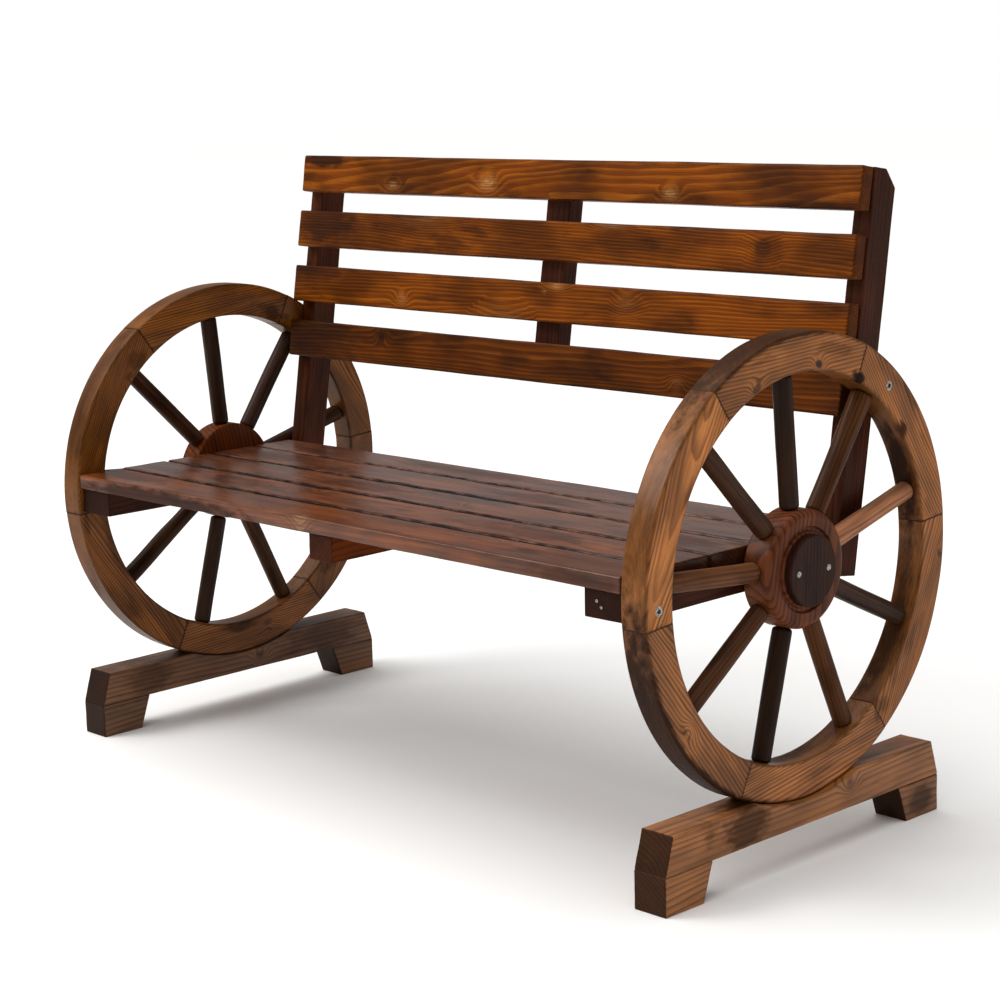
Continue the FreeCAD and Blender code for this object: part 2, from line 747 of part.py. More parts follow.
for side_name, side_sign in SIDES.items():
    make_wheel(side_name, side_sign)
    make_foot(side_name, side_sign)
    make_side_bearer(side_name, side_sign)
    make_side_post(side_name, side_sign)
make_cap_screws()
make_wheel_bolts()
make_seat()
make_middle_bearer()
make_nails()
make_back_slats()
make_middle_post()
doc.recompute()

for item in doc.Objects:
    if "Invalid" in item.State or "Error" in item.State:
        raise RuntimeError(f"{item.Name} failed: {item.State}")
for piece in pieces:
    if piece.Shape.isNull() or not piece.Shape.isValid() or not piece.Shape.Solids:
        raise RuntimeError(f"{piece.Label} has no sound shape")

os.makedirs("parts", exist_ok=True)
for piece in pieces:
    piece.Shape.exportStep(os.path.join("parts", f"{piece.Label}.step"))
print(f"{len(pieces)} sub-parts written")
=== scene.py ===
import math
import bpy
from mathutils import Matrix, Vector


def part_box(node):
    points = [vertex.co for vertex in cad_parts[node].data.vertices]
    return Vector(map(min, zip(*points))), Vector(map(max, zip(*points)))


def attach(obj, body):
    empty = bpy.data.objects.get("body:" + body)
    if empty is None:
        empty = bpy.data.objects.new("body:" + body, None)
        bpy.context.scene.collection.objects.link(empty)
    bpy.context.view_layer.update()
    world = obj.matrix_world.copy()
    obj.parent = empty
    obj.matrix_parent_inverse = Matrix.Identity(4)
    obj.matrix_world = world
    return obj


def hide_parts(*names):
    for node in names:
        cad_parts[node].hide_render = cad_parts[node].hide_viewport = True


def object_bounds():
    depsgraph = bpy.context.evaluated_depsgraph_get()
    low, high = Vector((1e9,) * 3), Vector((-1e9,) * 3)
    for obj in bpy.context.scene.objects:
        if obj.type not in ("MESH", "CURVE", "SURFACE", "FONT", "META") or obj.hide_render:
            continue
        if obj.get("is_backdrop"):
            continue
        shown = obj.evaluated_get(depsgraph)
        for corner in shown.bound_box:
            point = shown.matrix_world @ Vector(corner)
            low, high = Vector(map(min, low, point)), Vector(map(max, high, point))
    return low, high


bl_info = {
    "name": "Wagon Wheel Bench",
    "version": (1, 0, 0),
    "blender": (4, 5, 0),
    "location": "View3D > Sidebar > Bench",
    "description": "Dresses a garden bench of carbonised fir that two wagon wheels carry",
    "category": "Object",
}

import bmesh
import bpy
from bpy.props import FloatProperty, FloatVectorProperty, IntProperty, PointerProperty
from bpy.types import Operator, Panel, PropertyGroup
from mathutils import Matrix, Vector, noise

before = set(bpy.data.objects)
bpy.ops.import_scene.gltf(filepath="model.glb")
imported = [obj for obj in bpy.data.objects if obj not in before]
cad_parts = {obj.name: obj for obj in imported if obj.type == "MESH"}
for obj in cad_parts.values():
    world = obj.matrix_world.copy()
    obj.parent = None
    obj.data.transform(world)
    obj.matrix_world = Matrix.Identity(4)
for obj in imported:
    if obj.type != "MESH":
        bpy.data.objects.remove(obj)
CAD_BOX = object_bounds()

# Metres, +X along the bench, +Y to its back, +Z up. Every wooden piece is made in its own
# axes, X along its grain, Y across its face and Z out of that face, and then laid in place.
SIDES = {"right": 1, "left": -1}
SEAT_SLATS = 5
BACK_SLATS = 4
MM = 0.001


def linear(hex_colour):
    """An sRGB hex colour as linear red, green and blue."""
    parts = [int(hex_colour[start:start + 2], 16) / 255 for start in (1, 3, 5)]
    return tuple(part / 12.92 if part <= 0.04045 else ((part + 0.055) / 1.055) ** 2.4 for part in parts)


def length(name, default_mm, description):
    return FloatProperty(name=name, description=description, default=default_mm * MM, subtype="DISTANCE")


def degrees(name, default, description):
    return FloatProperty(name=name, description=description, default=math.radians(default), subtype="ANGLE")


def colour(name, default, description):
    return FloatVectorProperty(
        name=name, description=description, default=linear(default), size=3, min=0, max=1, subtype="COLOR",
    )


# ---------------------------------------------------------------- sizes and colours

class BenchSizes(PropertyGroup):
    back_lean: degrees("Back lean", 9.2, "How far the back leans from upright")
    felloe_count: IntProperty(name="Felloes", description="Segments in one rim", default=6)
    joint_angle: degrees("First joint", 5, "First felloe joint, up from the level toward the back")
    rim_width: length("Rim width", 45, "Radial width of a felloe")
    rim_round: length("Rim rounding", 3.2, "Rounding of the rim's edges")
    joint_round: length("Joint rounding", 0.7, "Rounding of a felloe's ends, which shows as a fine line")
    spoke_count: IntProperty(name="Spokes", description="Spokes in one wheel", default=9)
    spoke_angle: degrees("First spoke", 15, "First spoke, up from the level toward the back")
    spoke_diameter: length("Spoke", 23, "Diameter of the dowels")
    spoke_round: length("Spoke end", 4.5, "Rounding where a spoke enters the rim or the hub")
    tenon_diameter: length("Tenon", 13, "Diameter of a spoke's tenons")
    tenon_length: length("Tenon length", 15, "Length of a spoke's tenons")
    hub_round: length("Hub rounding", 8, "Rounding of the hub's outer edge")
    groove_radius: length("Groove radius", 50, "Outer radius of the groove in the hub's face")
    groove_width: length("Groove width", 6.5, "Width of that groove")
    groove_depth: length("Groove depth", 3.5, "Depth of that groove")
    cap_round: length("Cap rounding", 2, "Rounding of the hub cap")
    screw_offset: length("Cap screws", 27, "From the hub's centre to a screw")
    screw_hole: length("Screw hole", 8.4, "Diameter of the hole round a cap screw's head")
    screw_hole_depth: length("Screw hole depth", 2.4, "Depth of that hole")
    bolt_head: length("Bolt head", 12, "Diameter of a wheel bolt's head")
    bolt_hole: length("Bolt hole", 12.4, "Diameter of the hole round that head")
    bolt_hole_depth: length("Bolt hole depth", 5.4, "Depth of that hole")
    board_round: length("Board rounding", 2.5, "Rounding of the slats' edges")
    frame_round: length("Frame rounding", 1.4, "Rounding of the edges of bearers, posts and feet")
    post_width: length("Post width", 42, "The side posts, from front to back")
    post_corner: length("Post corner", 20, "Cut at a side post's rear top corner")
    foot_length: length("Foot length", 503, "Length of a foot on the ground")
    foot_top: length("Foot top", 476, "Length of a foot along its top")
    notch_play: length("Notch play", 0.2, "Gap between a rim and its foot's notch")
    block_top: length("Foot block top", 80, "Length of a foot's block at its top")
    block_bottom: length("Foot block bottom", 64, "Length of a foot's block on the ground")


class BenchColours(PropertyGroup):
    rim_wood: colour("Rim wood", "#aa6a34", "Earlywood of the rims")
    rim_line: colour("Rim lines", "#522610", "Latewood of the rims")
    back_wood: colour("Back wood", "#75390f", "Ground of the back slats")
    back_line: colour("Back lines", "#a4602a", "Lighter lines that brushing leaves on the back slats")
    seat_wood: colour("Seat wood", "#7a4120", "Ground of the seat slats")
    seat_line: colour("Seat lines", "#3a1d10", "Latewood of the seat slats")
    cap_wood: colour("Cap wood", "#3a2018", "Ground of the hub caps")
    cap_line: colour("Cap lines", "#1d100c", "Latewood of the hub caps")
    foot_wood: colour("Foot wood", "#a86c3c", "Earlywood of the feet")
    foot_line: colour("Foot lines", "#4c2916", "Latewood of the feet")
    frame_wood: colour("Frame wood", "#552b18", "Ground of posts and bearers")
    frame_line: colour("Frame lines", "#2a1610", "Latewood of posts and bearers")
    spoke_wood: colour("Spoke wood", "#5a3720", "Ground of the spokes")
    spoke_line: colour("Spoke lines", "#241410", "Latewood of the spokes")
    hub_wood: colour("Hub wood", "#6e3a20", "Ground of the hubs")
    hub_line: colour("Hub lines", "#2b150d", "Latewood of the hubs")
    # Char is also the colour painted as shade in the seat's gaps and under the right wheel.
    char: colour("Char", "#1d0f0a", "Where the flame burnt the wood black")
    knot: colour("Knot", "#c08c55", "Heart of a pale knot")
    steel: colour("Steel", "#a9a49c", "Bolts, screws and nails")
    floor: colour("Floor", "#f7f6f4", "The floor that the bench stands on")


def sizes():
    return bpy.context.scene.bench_sizes


def colours():
    return bpy.context.scene.bench_colours


# ---------------------------------------------------------------- marks in the wood
# All in millimetres. The places of many marks were measured, and some of those were shifted;
# the other places, and every size and strength, were judged or made up.
# A knot is (along, across, half length, half width, tone), tone from 1, pale, to -1, black. A
# scorch is (along, across, out, half length, half width, half depth, strength). Both are given
# from the middle of their board.

BOARD_KNOTS = {
    "back_slat_1": [(-303, -14, 9, 5, 0.8), (-116, -7, 12, 8, 0.9), (210, -14, 9, 6, 0.8)],
    "back_slat_2": [(-233, 31, 34, 13, 0.35), (117, 27, 16, 6, 0.6), (365, 4, 13, 11, -0.45)],
    "back_slat_3": [
        (-266, -11, 8, 6, 0.6), (31, 23, 10, 5, 0.7), (-68, -29, 28, 13, 0.3), (154, 5, 13, 9, 0.25),
    ],
    "back_slat_4": [(-301, 14, 7, 6, -0.6), (250, -8, 8, 6, 0.2)],
    "seat_slat_1": [(-30, -30, 10, 7, 0.5), (280, 12, 12, 8, -0.3)],
    "seat_slat_2": [(-160, 8, 12, 9, -0.3)],
    "seat_slat_3": [(90, -14, 13, 9, -0.3), (-380, 12, 10, 7, 0.2)],
    "seat_slat_4": [(-250, -6, 12, 9, -0.3), (330, 14, 10, 8, 0.2)],
    "seat_slat_5": [(140, 4, 11, 8, -0.3)],
    "right_foot_beam": [(76, 6, 8, 6, -0.3)],
    "left_foot_beam": [(30, -4, 8, 7, -0.5)],
}
# Most scorches are char; those along the seat slats' gaps and the first on the right foot beam are painted
# shade.
BOARD_SCORCHES_AND_SHADE = {
    "back_slat_1": [
        (-454, 20, 10, 65, 13, 30, 0.85), (440, -24, 10, 90, 9, 30, 0.7), (400, 12, 10, 120, 40, 30, 0.3),
    ],
    "back_slat_2": [
        (-445, 8, 10, 85, 32, 30, 0.65), (372, 2, 10, 30, 24, 30, 0.45), (220, 28, 10, 60, 8, 30, 0.6),
    ],
    "back_slat_3": [(-452, 20, 10, 80, 16, 30, 0.6), (160, 4, 10, 24, 14, 30, 0.3)],
    "back_slat_4": [(-440, 5, 10, 130, 34, 30, 0.5), (-301, 12, 10, 20, 14, 30, 0.4)],
    # The marks at across 37 and 38, either way, that run the whole of a slat sit on the edges facing the
    # gaps between slats: painted shade in those gaps, over edges that are charred all round as well.
    "seat_slat_1": [
        (-330, -33, -4, 230, 9, 16, 0.85), (-430, 10, 10, 110, 40, 12, 0.5), (0, 37, -2, 900, 11, 20, 1.0),
        (430, -33, -4, 90, 9, 16, 0.5),
    ],
    "seat_slat_2": [
        (-300, 0, 10, 90, 28, 12, 0.5), (260, 0, 10, 120, 28, 12, 0.4), (0, 38, -2, 900, 11, 20, 1.0),
        (0, -38, -2, 900, 11, 20, 1.0),
    ],
    "seat_slat_3": [
        (-120, 5, 10, 110, 28, 12, 0.5), (420, 0, 10, 90, 28, 12, 0.45), (0, 38, -2, 900, 11, 20, 1.0),
        (0, -38, -2, 900, 11, 20, 1.0),
    ],
    "seat_slat_4": [
        (-400, 0, 10, 120, 28, 12, 0.5), (120, 0, 10, 90, 28, 12, 0.4), (0, 38, -2, 900, 11, 20, 1.0),
        (0, -38, -2, 900, 11, 20, 1.0),
    ],
    "seat_slat_5": [(-100, 4, 10, 160, 26, 12, 0.4), (0, -37, -2, 900, 11, 20, 1.0)],
    # The first mark here is painted shadow under the wheel, where it overhangs the front of its notch.
    "right_foot_beam": [(-112, 2, 23, 46, 36, 60, 0.75), (-182, 8, 23, 9, 24, 60, 0.5)],
    "right_foot_block_rear": [(6, 0, 23, 30, 22, 60, 0.6)],
    "left_foot_beam": [(150, 6, 0, 110, 40, 60, 0.45), (-170, 0, 0, 50, 40, 60, 0.5)],
}
# On a wheel the first number is an angle, up from the level toward the back, and the second
# a distance from the axle.
WHEEL_KNOTS = {
    "right": [
        (83.9, 232.6, 6, 5, -0.9), (111.3, 231.7, 8, 5, -0.7), (354.6, 261, 5, 4, -0.7),
        (216, 247, 7, 5, 0.3),
    ],
    "left": [(63, 240, 7, 5, -0.5), (138, 236, 8, 5, -0.5), (282, 240, 8, 6, -0.4)],
}
WHEEL_SCORCHES = {
    "right": [
        (64.5, 229, 18, 15, 10, 8, 1.0),
        (37, 230, 18, 13, 9, 12, 0.9),
        (223, 270, 0, 265, 8, 60, 0.88),
        (307, 238, 18, 18, 18, 10, 0.5),
        (100, 271, 0, 200, 8, 60, 0.75),
        (166, 271, 0, 62, 6, 45, 0.45),
        (20, 224, -2, 100, 7, 20, 0.9),
        (330, 224, -4, 120, 6, 18, 0.7),
        (262, 224, -6, 100, 5, 14, 0.6),
        (148, 224, -4, 120, 5, 18, 0.6),
        (78, 252, 18, 40, 8, 6, 0.4),
    ],
    "left": [
        (70, 238, -18, 24, 14, 12, 0.6),
        (318, 240, -18, 34, 16, 14, 0.6),
        (132, 240, -18, 20, 20, 10, 0.45),
        (270, 232, -18, 40, 9, 14, 0.6),
        (200, 230, -18, 80, 8, 14, 0.4),
        (186, 262, -18, 40, 6, 8, 0.5),
    ],
}
# Where the log's heart runs beside a piece, in millimetres across and out, and its drift.
PITHS = {
    "back_slat_1": (-14, -52, 0.03), "back_slat_2": (-62, -30, -0.03), "back_slat_3": (-44, -40, 0.02),
    "back_slat_4": (50, -34, -0.02),
    "seat_slat_1": (-58, -20, 0.02), "seat_slat_2": (12, -46, 0.03), "seat_slat_3": (-40, -34, -0.03),
    "seat_slat_4": (8, -52, -0.02), "seat_slat_5": (44, -30, 0.03),
    "right_felloe_1": (64, -20, 0.02), "right_felloe_2": (-70, -22, -0.04), "right_felloe_3": (3, 4, 0.07),
    "right_felloe_4": (-58, -26, 0.05), "right_felloe_5": (52, -30, -0.05),
    "right_felloe_6": (-60, -18, 0.03),
    "right_foot_beam": (-48, -20, 0.02), "right_foot_block_front": (-50, -34, 0.06),
    "right_foot_block_rear": (-46, -30, 0.04),
}
KNOTTY_SPOKES = ("right_spoke_2", "left_spoke_6")
# A spoke that thickens toward the rim, by this share of its radius.
THICK_SPOKES = {"right_spoke_2": 0.2}
# Brightness and warmth of a piece against the others of its finish.
TONES = {
    "back_slat_1": (0.84, 0.1), "back_slat_2": (0.76, 0.1), "back_slat_3": (0.82, 0.1),
    "back_slat_4": (0.46, 0.1),
    "seat_slat_1": (0.9, 0.1), "seat_slat_2": (0.9, 0.0), "seat_slat_3": (0.84, -0.1),
    "seat_slat_4": (0.88, -0.1), "seat_slat_5": (0.84, -0.2),
    "right_spoke_1": (4.4, -0.15), "right_spoke_2": (0.95, 0.1), "right_spoke_3": (0.32, -0.1),
    "right_spoke_4": (0.62, -0.1), "right_spoke_5": (1.5, 0.0), "right_spoke_6": (0.8, 0.0),
    "right_spoke_7": (0.24, -0.1), "right_spoke_8": (0.95, 0.1), "right_spoke_9": (0.6, -0.3),
    "left_spoke_1": (0.5, 0.0), "left_spoke_2": (0.5, -0.2), "left_spoke_3": (0.5, 0.0),
    "left_spoke_4": (0.7, 0.0), "left_spoke_5": (0.5, 0.0), "left_spoke_6": (0.45, 0.0),
    "left_spoke_7": (0.36, -0.3), "left_spoke_8": (0.62, 0.0), "left_spoke_9": (0.5, 0.0),
    "left_foot_beam": (0.5, -0.2), "left_foot_block_front": (0.45, -0.2),
    "left_foot_block_rear": (0.5, -0.1),
    "right_foot_block_rear": (0.75, 0.0), "middle_bearer": (1.7, 0.2), "left_hub": (0.95, 0.2),
    "right_bearer": (0.7, 0.0), "left_bearer": (0.5, -0.1), "middle_post": (0.8, 0.0),
    "right_post": (0.75, 0.0), "left_post": (0.85, 0.1),
    "right_felloe_2": (1.0, 0.0), "right_felloe_6": (0.95, 0.0), "right_felloe_5": (1.2, -0.05),
    "right_felloe_1": (0.98, 0.0), "right_felloe_3": (1.3, 0.0),
    "right_felloe_4": (0.92, -0.05), "left_felloe_1": (0.6, 0.1), "left_felloe_2": (0.8, 0.1),
    "left_felloe_3": (0.62, 0.1), "left_felloe_4": (0.62, 0.05), "left_felloe_5": (0.66, 0.0),
    "left_felloe_6": (0.6, 0.0),
}


# ---------------------------------------------------------------- materials

def add(tree, kind, inputs=(), **settings):
    """Adds a node with its settings, and sets its inputs or links them to other nodes."""
    item = tree.nodes.new(kind)
    for name, value in settings.items():
        setattr(item, name, value)
    pairs = inputs.items() if isinstance(inputs, dict) else enumerate(inputs)
    for key, value in pairs:
        if isinstance(value, bpy.types.Node):
            value = value.outputs[0]
        if isinstance(value, bpy.types.NodeSocket):
            tree.links.new(value, item.inputs[key])
        elif value is not None:
            item.inputs[key].default_value = value
    return item


def cells(*widths):
    """Pattern cells per metre for these widths in millimetres: along, across, through."""
    return tuple(1000 / width for width in widths)


FIR_INPUTS = {
    "Wood": "NodeSocketColor", "Line": "NodeSocketColor", "Char": "NodeSocketColor",
    "Knot": "NodeSocketColor", "Ring width": "NodeSocketFloat", "Line amount": "NodeSocketFloat",
    "Streaks": "NodeSocketFloat", "Blotches": "NodeSocketFloat", "Burnt edges": "NodeSocketFloat",
    "End grain": "NodeSocketFloat", "Side grain": "NodeSocketFloat", "Side char and painted shade": "NodeSocketFloat",
    "Roughness": "NodeSocketFloat",
}
FIR_OUTPUTS = {
    "Colour": "NodeSocketColor", "Roughness": "NodeSocketFloat", "Height": "NodeSocketFloat",
    "Char and painted shade": "NodeSocketFloat",
}
# What each piece carries at its points: its place in the log; the nearest knot; how far off the
# nearest scorch mark is, a few of which are painted shade; brightness, warmth and that mark's
# strength; and its depths below the piece's ends, sides and faces.
MARKS = ("grain", "knot", "scorch_and_shade", "tone", "edge")
# Patterns in the wood as widths in millimetres, along, across and through it, and detail.
# The wander bends the rings along a board, and the waver frets them from fibre to fibre.
PATTERNS = {
    "wander": (420, 90, 90, 2.0), "waver": (70, 16, 16, 2.0), "streak": (60, 1.5, 1.5, 2.0),
    "band": (180, 9, 9, 2.0), "cloud": (110, 48, 48, 2.0), "flame": (90, 26, 26, 4.0),
    "ragged": (22, 9, 9, 3.0), "edge": (40, 10, 10, 3.0),
}
EASE = {"interpolation_type": "SMOOTHSTEP"}
MATH = "ShaderNodeMath"
VECTOR = "ShaderNodeVectorMath"
NOISE = "ShaderNodeTexNoise"
RANGE = "ShaderNodeMapRange"
# How strongly the lacquer shines on each finish: thick on the seat, thin on the charred pieces.
COATS = {
    "seat": 0.68, "rim": 0.26, "back": 0.12, "foot": 0.45, "frame": 0.06, "spoke": 0.1, "cap": 0.06,
    "hub": 0.12,
}
# How strong the grain and how bright the wood is on a piece's sides, against its faces. On all
# finishes but the rims' they are the same; a rim's sides are darker, partly char and partly painted shade.
SAME_ON_SIDES = {"Side grain": 1.0, "Side char and painted shade": 1.0}
# What brushing and the flame leave on each part. Rings are as wide as they show on the part;
# the fibres are drawn at 1.5 mm, about three times their real width, so that they show.
FINISHES = {
    # Brushed fir, lightly burnt: bright orange brown with dark, raised year lines; the inner and outer
    # sides darker, partly char and partly painted shade.
    "rim": {"Ring width": 3.4, "Line amount": 0.9, "Streaks": 0.3, "Blotches": 0.42, "Burnt edges": 0.45,
            "End grain": 0.8, "Side grain": 0.3, "Side char and painted shade": 0.52, "Roughness": 0.36},
    # Burnt deeper and brushed back: a red brown ground with fine lines that shine lighter.
    "back": {"Ring width": 3.4, "Line amount": 0.8, "Streaks": 0.3, "Blotches": 0.5, "Burnt edges": 0.6,
             "End grain": 0.5, "Roughness": 0.36},
    # Thick lacquer over burnt boards: dark streaks and soft clouds under a greyish sheen.
    "seat": {"Ring width": 5.0, "Line amount": 0.55, "Streaks": 0.5, "Blotches": 0.45, "Burnt edges": 0.35,
             "End grain": 0.6, "Roughness": 0.3},
    # Sawn fir, burnt in bands, with near-black ends.
    "foot": {"Ring width": 5.5, "Line amount": 0.65, "Streaks": 0.2, "Blotches": 0.35, "Burnt edges": 0.3,
             "End grain": 0.92, "Roughness": 0.38},
    # Burnt all over: dark brown, the grain just readable.
    "frame": {"Ring width": 5.0, "Line amount": 0.6, "Streaks": 0.25, "Blotches": 0.4, "Burnt edges": 0.4,
              "End grain": 0.7, "Roughness": 0.4},
    # Dowels charred almost black, with a smooth turned gloss.
    "spoke": {"Ring width": 4.5, "Line amount": 0.5, "Streaks": 0.3, "Blotches": 0.4, "Burnt edges": 0.0,
              "End grain": 0.8, "Roughness": 0.32},
    # Turned blocks, reddish, with long dark lines across the face.
    "hub": {"Ring width": 6.0, "Line amount": 0.75, "Streaks": 0.25, "Blotches": 0.3, "Burnt edges": 0.35,
            "End grain": 0.0, "Roughness": 0.36},
    # A disc burnt almost black, satin.
    "cap": {"Ring width": 5.0, "Line amount": 0.5, "Streaks": 0.3, "Blotches": 0.3, "Burnt edges": 0.3,
            "End grain": 0.0, "Roughness": 0.34},
}


def ring_lines(tree, given, read, pattern):
    """Rings about the pith, which close round a knot: how far through its year a point is, and
    how strong the year's dark line is there."""
    wander = add(tree, VECTOR, [pattern["wander"].outputs["Color"], (0, 0.022, 0.022), read["grain"]],
                 operation="MULTIPLY_ADD")
    waver = add(tree, VECTOR, [pattern["waver"].outputs["Color"], (0, 0.0016, 0.0016), wander],
                operation="MULTIPLY_ADD")
    flat = add(tree, VECTOR, [waver, (0, 1, 1)], operation="MULTIPLY")
    radius = add(tree, VECTOR, [flat], operation="LENGTH").outputs["Value"]
    radius_mm = add(tree, MATH, [radius, 1000], operation="MULTIPLY")
    rings = add(tree, MATH, [radius_mm, given["Ring width"]], operation="DIVIDE")

    # A knot lifts the ring count round it, which closes rings about its heart.
    swell_power = add(tree, MATH, [read["knot square"], -0.3], operation="MULTIPLY")
    swell = add(tree, MATH, [swell_power], operation="EXPONENT")
    strength = add(tree, MATH, [read["knot tone"]], operation="ABSOLUTE")
    present = add(tree, RANGE, [strength, 0.0, 0.15, 0.0, 2.6], **EASE)
    count = add(tree, MATH, [swell, present, rings], operation="MULTIPLY_ADD")

    # Each year's line darkens slowly and stops short, and some years leave a fainter one.
    turn = add(tree, MATH, [count], operation="FRACT")
    rise = add(tree, RANGE, [turn, 0.3, 0.88], **EASE)
    fall = add(tree, RANGE, [turn, 0.93, 1.0, 1, 0], **EASE)
    late = add(tree, MATH, [rise, fall], operation="MULTIPLY")
    slow_count = add(tree, MATH, [count, 0.41], operation="MULTIPLY")
    years = add(tree, NOISE, {"W": slow_count, "Scale": 1.0}, noise_dimensions="1D")
    share = add(tree, RANGE, [years, 0.35, 0.62, 0.5, 1.0], **EASE)
    return turn, add(tree, MATH, [late, share], operation="MULTIPLY")


def ground(tree, given, read, line, streak, pattern):
    """Early wood and year lines, streaked along the grain, clouded, and toned for the piece."""
    calm = add(tree, RANGE, [read["below side"], 0.0005, 0.003, given["Side grain"], 1.0])
    line_share = add(tree, MATH, [line, given["Line amount"]], operation="MULTIPLY", use_clamp=True)
    line_share = add(tree, MATH, [line_share, calm], operation="MULTIPLY")
    wood = add(tree, "ShaderNodeMixRGB", [line_share, given["Wood"], given["Line"]])

    band = add(tree, RANGE, [pattern["band"], 0.3, 0.7], **EASE)
    both = add(tree, MATH, [streak, band], operation="ADD")
    depth = add(tree, MATH, [both, 1.0], operation="SUBTRACT")
    shade = add(tree, MATH, [depth, given["Streaks"], 1.0], operation="MULTIPLY_ADD")
    wood = add(tree, VECTOR, {0: wood, "Scale": shade}, operation="SCALE")

    cloud = add(tree, RANGE, [pattern["cloud"], 0.38, 0.66], **EASE)
    cloud_share = add(tree, MATH, [cloud, given["Blotches"]], operation="MULTIPLY")
    cloud_shade = add(tree, MATH, [1.0, cloud_share], operation="SUBTRACT")
    wood = add(tree, VECTOR, {0: wood, "Scale": cloud_shade}, operation="SCALE")

    # A piece's sides darken by this share: on the rims partly char and partly painted shade, elsewhere not
    # at all.
    side_char_and_painted_shade = add(tree, RANGE, [read["below side"], 0.0005, 0.004, given["Side char and painted shade"], 1.0])
    wood = add(tree, VECTOR, {0: wood, "Scale": side_char_and_painted_shade}, operation="SCALE")
    wood = add(tree, "ShaderNodeHueSaturation", {
        "Saturation": add(tree, MATH, [read["warmth"], 0.5, 1.0], operation="MULTIPLY_ADD"),
        "Value": read["brightness"],
        "Color": wood,
    })
    return wood, cloud


def knotted(tree, given, read, wood, turn, streak):
    """Knots over the ground: a pale one has a pale, lined halo, and a dark one a black heart."""
    pale = add(tree, MATH, [read["knot tone"], 0.0], operation="MAXIMUM")
    flipped = add(tree, MATH, [read["knot tone"], -1.0], operation="MULTIPLY")
    dark = add(tree, MATH, [flipped, 0.0], operation="MAXIMUM")
    fade_power = add(tree, MATH, [read["knot square"], -0.7], operation="MULTIPLY")
    fade = add(tree, MATH, [fade_power], operation="EXPONENT")
    halo = add(tree, MATH, [fade, pale], operation="MULTIPLY")
    between_lines = add(tree, RANGE, [turn, 0.2, 0.9, 1.0, 0.35], **EASE)
    halo = add(tree, MATH, [halo, between_lines], operation="MULTIPLY")
    fibres = add(tree, RANGE, [streak, 0.2, 0.9, 0.25, 1.0], **EASE)
    halo = add(tree, MATH, [halo, fibres], operation="MULTIPLY")
    wood = add(tree, "ShaderNodeMixRGB", [halo, wood, given["Knot"]])
    inside = add(tree, RANGE, [read["knot far"], 0.65, 1.25, 1, 0], **EASE)
    heart = add(tree, MATH, [inside, dark], operation="MULTIPLY")
    return add(tree, "ShaderNodeMixRGB", [heart, wood, given["Char"]])


def flame(tree, given, read, pattern):
    """How far the wood is darkened, by char and by painted shade: scorched patches, a few of them painted
    shade, a few stray licks, and darker edges and ends.
    """
    ragged = add(tree, MATH, [pattern["ragged"], 1.1, read["scorch_and_shade"]], operation="MULTIPLY_ADD")
    within = add(tree, RANGE, [ragged, 1.0, 1.65, 1, 0], **EASE)
    scorch_and_shade_patch = add(tree, MATH, [within, read["scorch and shade strength"]], operation="MULTIPLY")
    licked = add(tree, RANGE, [pattern["flame"], 0.58, 0.72], **EASE)
    lick = add(tree, MATH, [licked, given["Blotches"]], operation="MULTIPLY")

    # Near an edge, two of the three depths are small.
    least = add(tree, MATH, [read["below end"], read["below side"]], operation="MINIMUM")
    most = add(tree, MATH, [read["below end"], read["below side"]], operation="MAXIMUM")
    nearer = add(tree, MATH, [most, read["below face"]], operation="MINIMUM")
    from_edge = add(tree, MATH, [least, nearer], operation="MAXIMUM")
    uneven = add(tree, MATH, [pattern["edge"], 0.012, from_edge], operation="MULTIPLY_ADD")
    by_edge = add(tree, RANGE, [uneven, 0.0045, 0.0095, 1, 0], **EASE)
    edge = add(tree, MATH, [by_edge, given["Burnt edges"]], operation="MULTIPLY")
    at_end = add(tree, RANGE, [read["below end"], 0.0004, 0.0016, 1, 0], **EASE)
    end = add(tree, MATH, [at_end, given["End grain"]], operation="MULTIPLY")
    char_and_painted_shade = add(tree, MATH, [scorch_and_shade_patch, lick], operation="MAXIMUM")
    char_and_painted_shade = add(tree, MATH, [char_and_painted_shade, edge], operation="MAXIMUM")
    return add(tree, MATH, [char_and_painted_shade, end], operation="MAXIMUM", use_clamp=True)


def read_marks(tree):
    """What a piece carries at its points, by name."""
    vector = {
        name: add(tree, "ShaderNodeAttribute", attribute_name=name).outputs["Vector"] for name in MARKS
    }
    part = {name: add(tree, "ShaderNodeSeparateXYZ", [vector[name]]).outputs for name in MARKS[1:]}
    knot_flat = add(tree, VECTOR, [vector["knot"], (1, 1, 0)], operation="MULTIPLY")
    knot_far = add(tree, VECTOR, [knot_flat], operation="LENGTH").outputs["Value"]
    return {
        "grain": vector["grain"],
        "knot tone": part["knot"]["Z"],
        "knot far": knot_far,
        "knot square": add(tree, MATH, [knot_far, knot_far], operation="MULTIPLY"),
        "scorch_and_shade": part["scorch_and_shade"]["X"],
        "brightness": part["tone"]["X"],
        "warmth": part["tone"]["Y"],
        "scorch and shade strength": part["tone"]["Z"],
        "below end": part["edge"]["X"],
        "below side": part["edge"]["Y"],
        "below face": part["edge"]["Z"],
    }


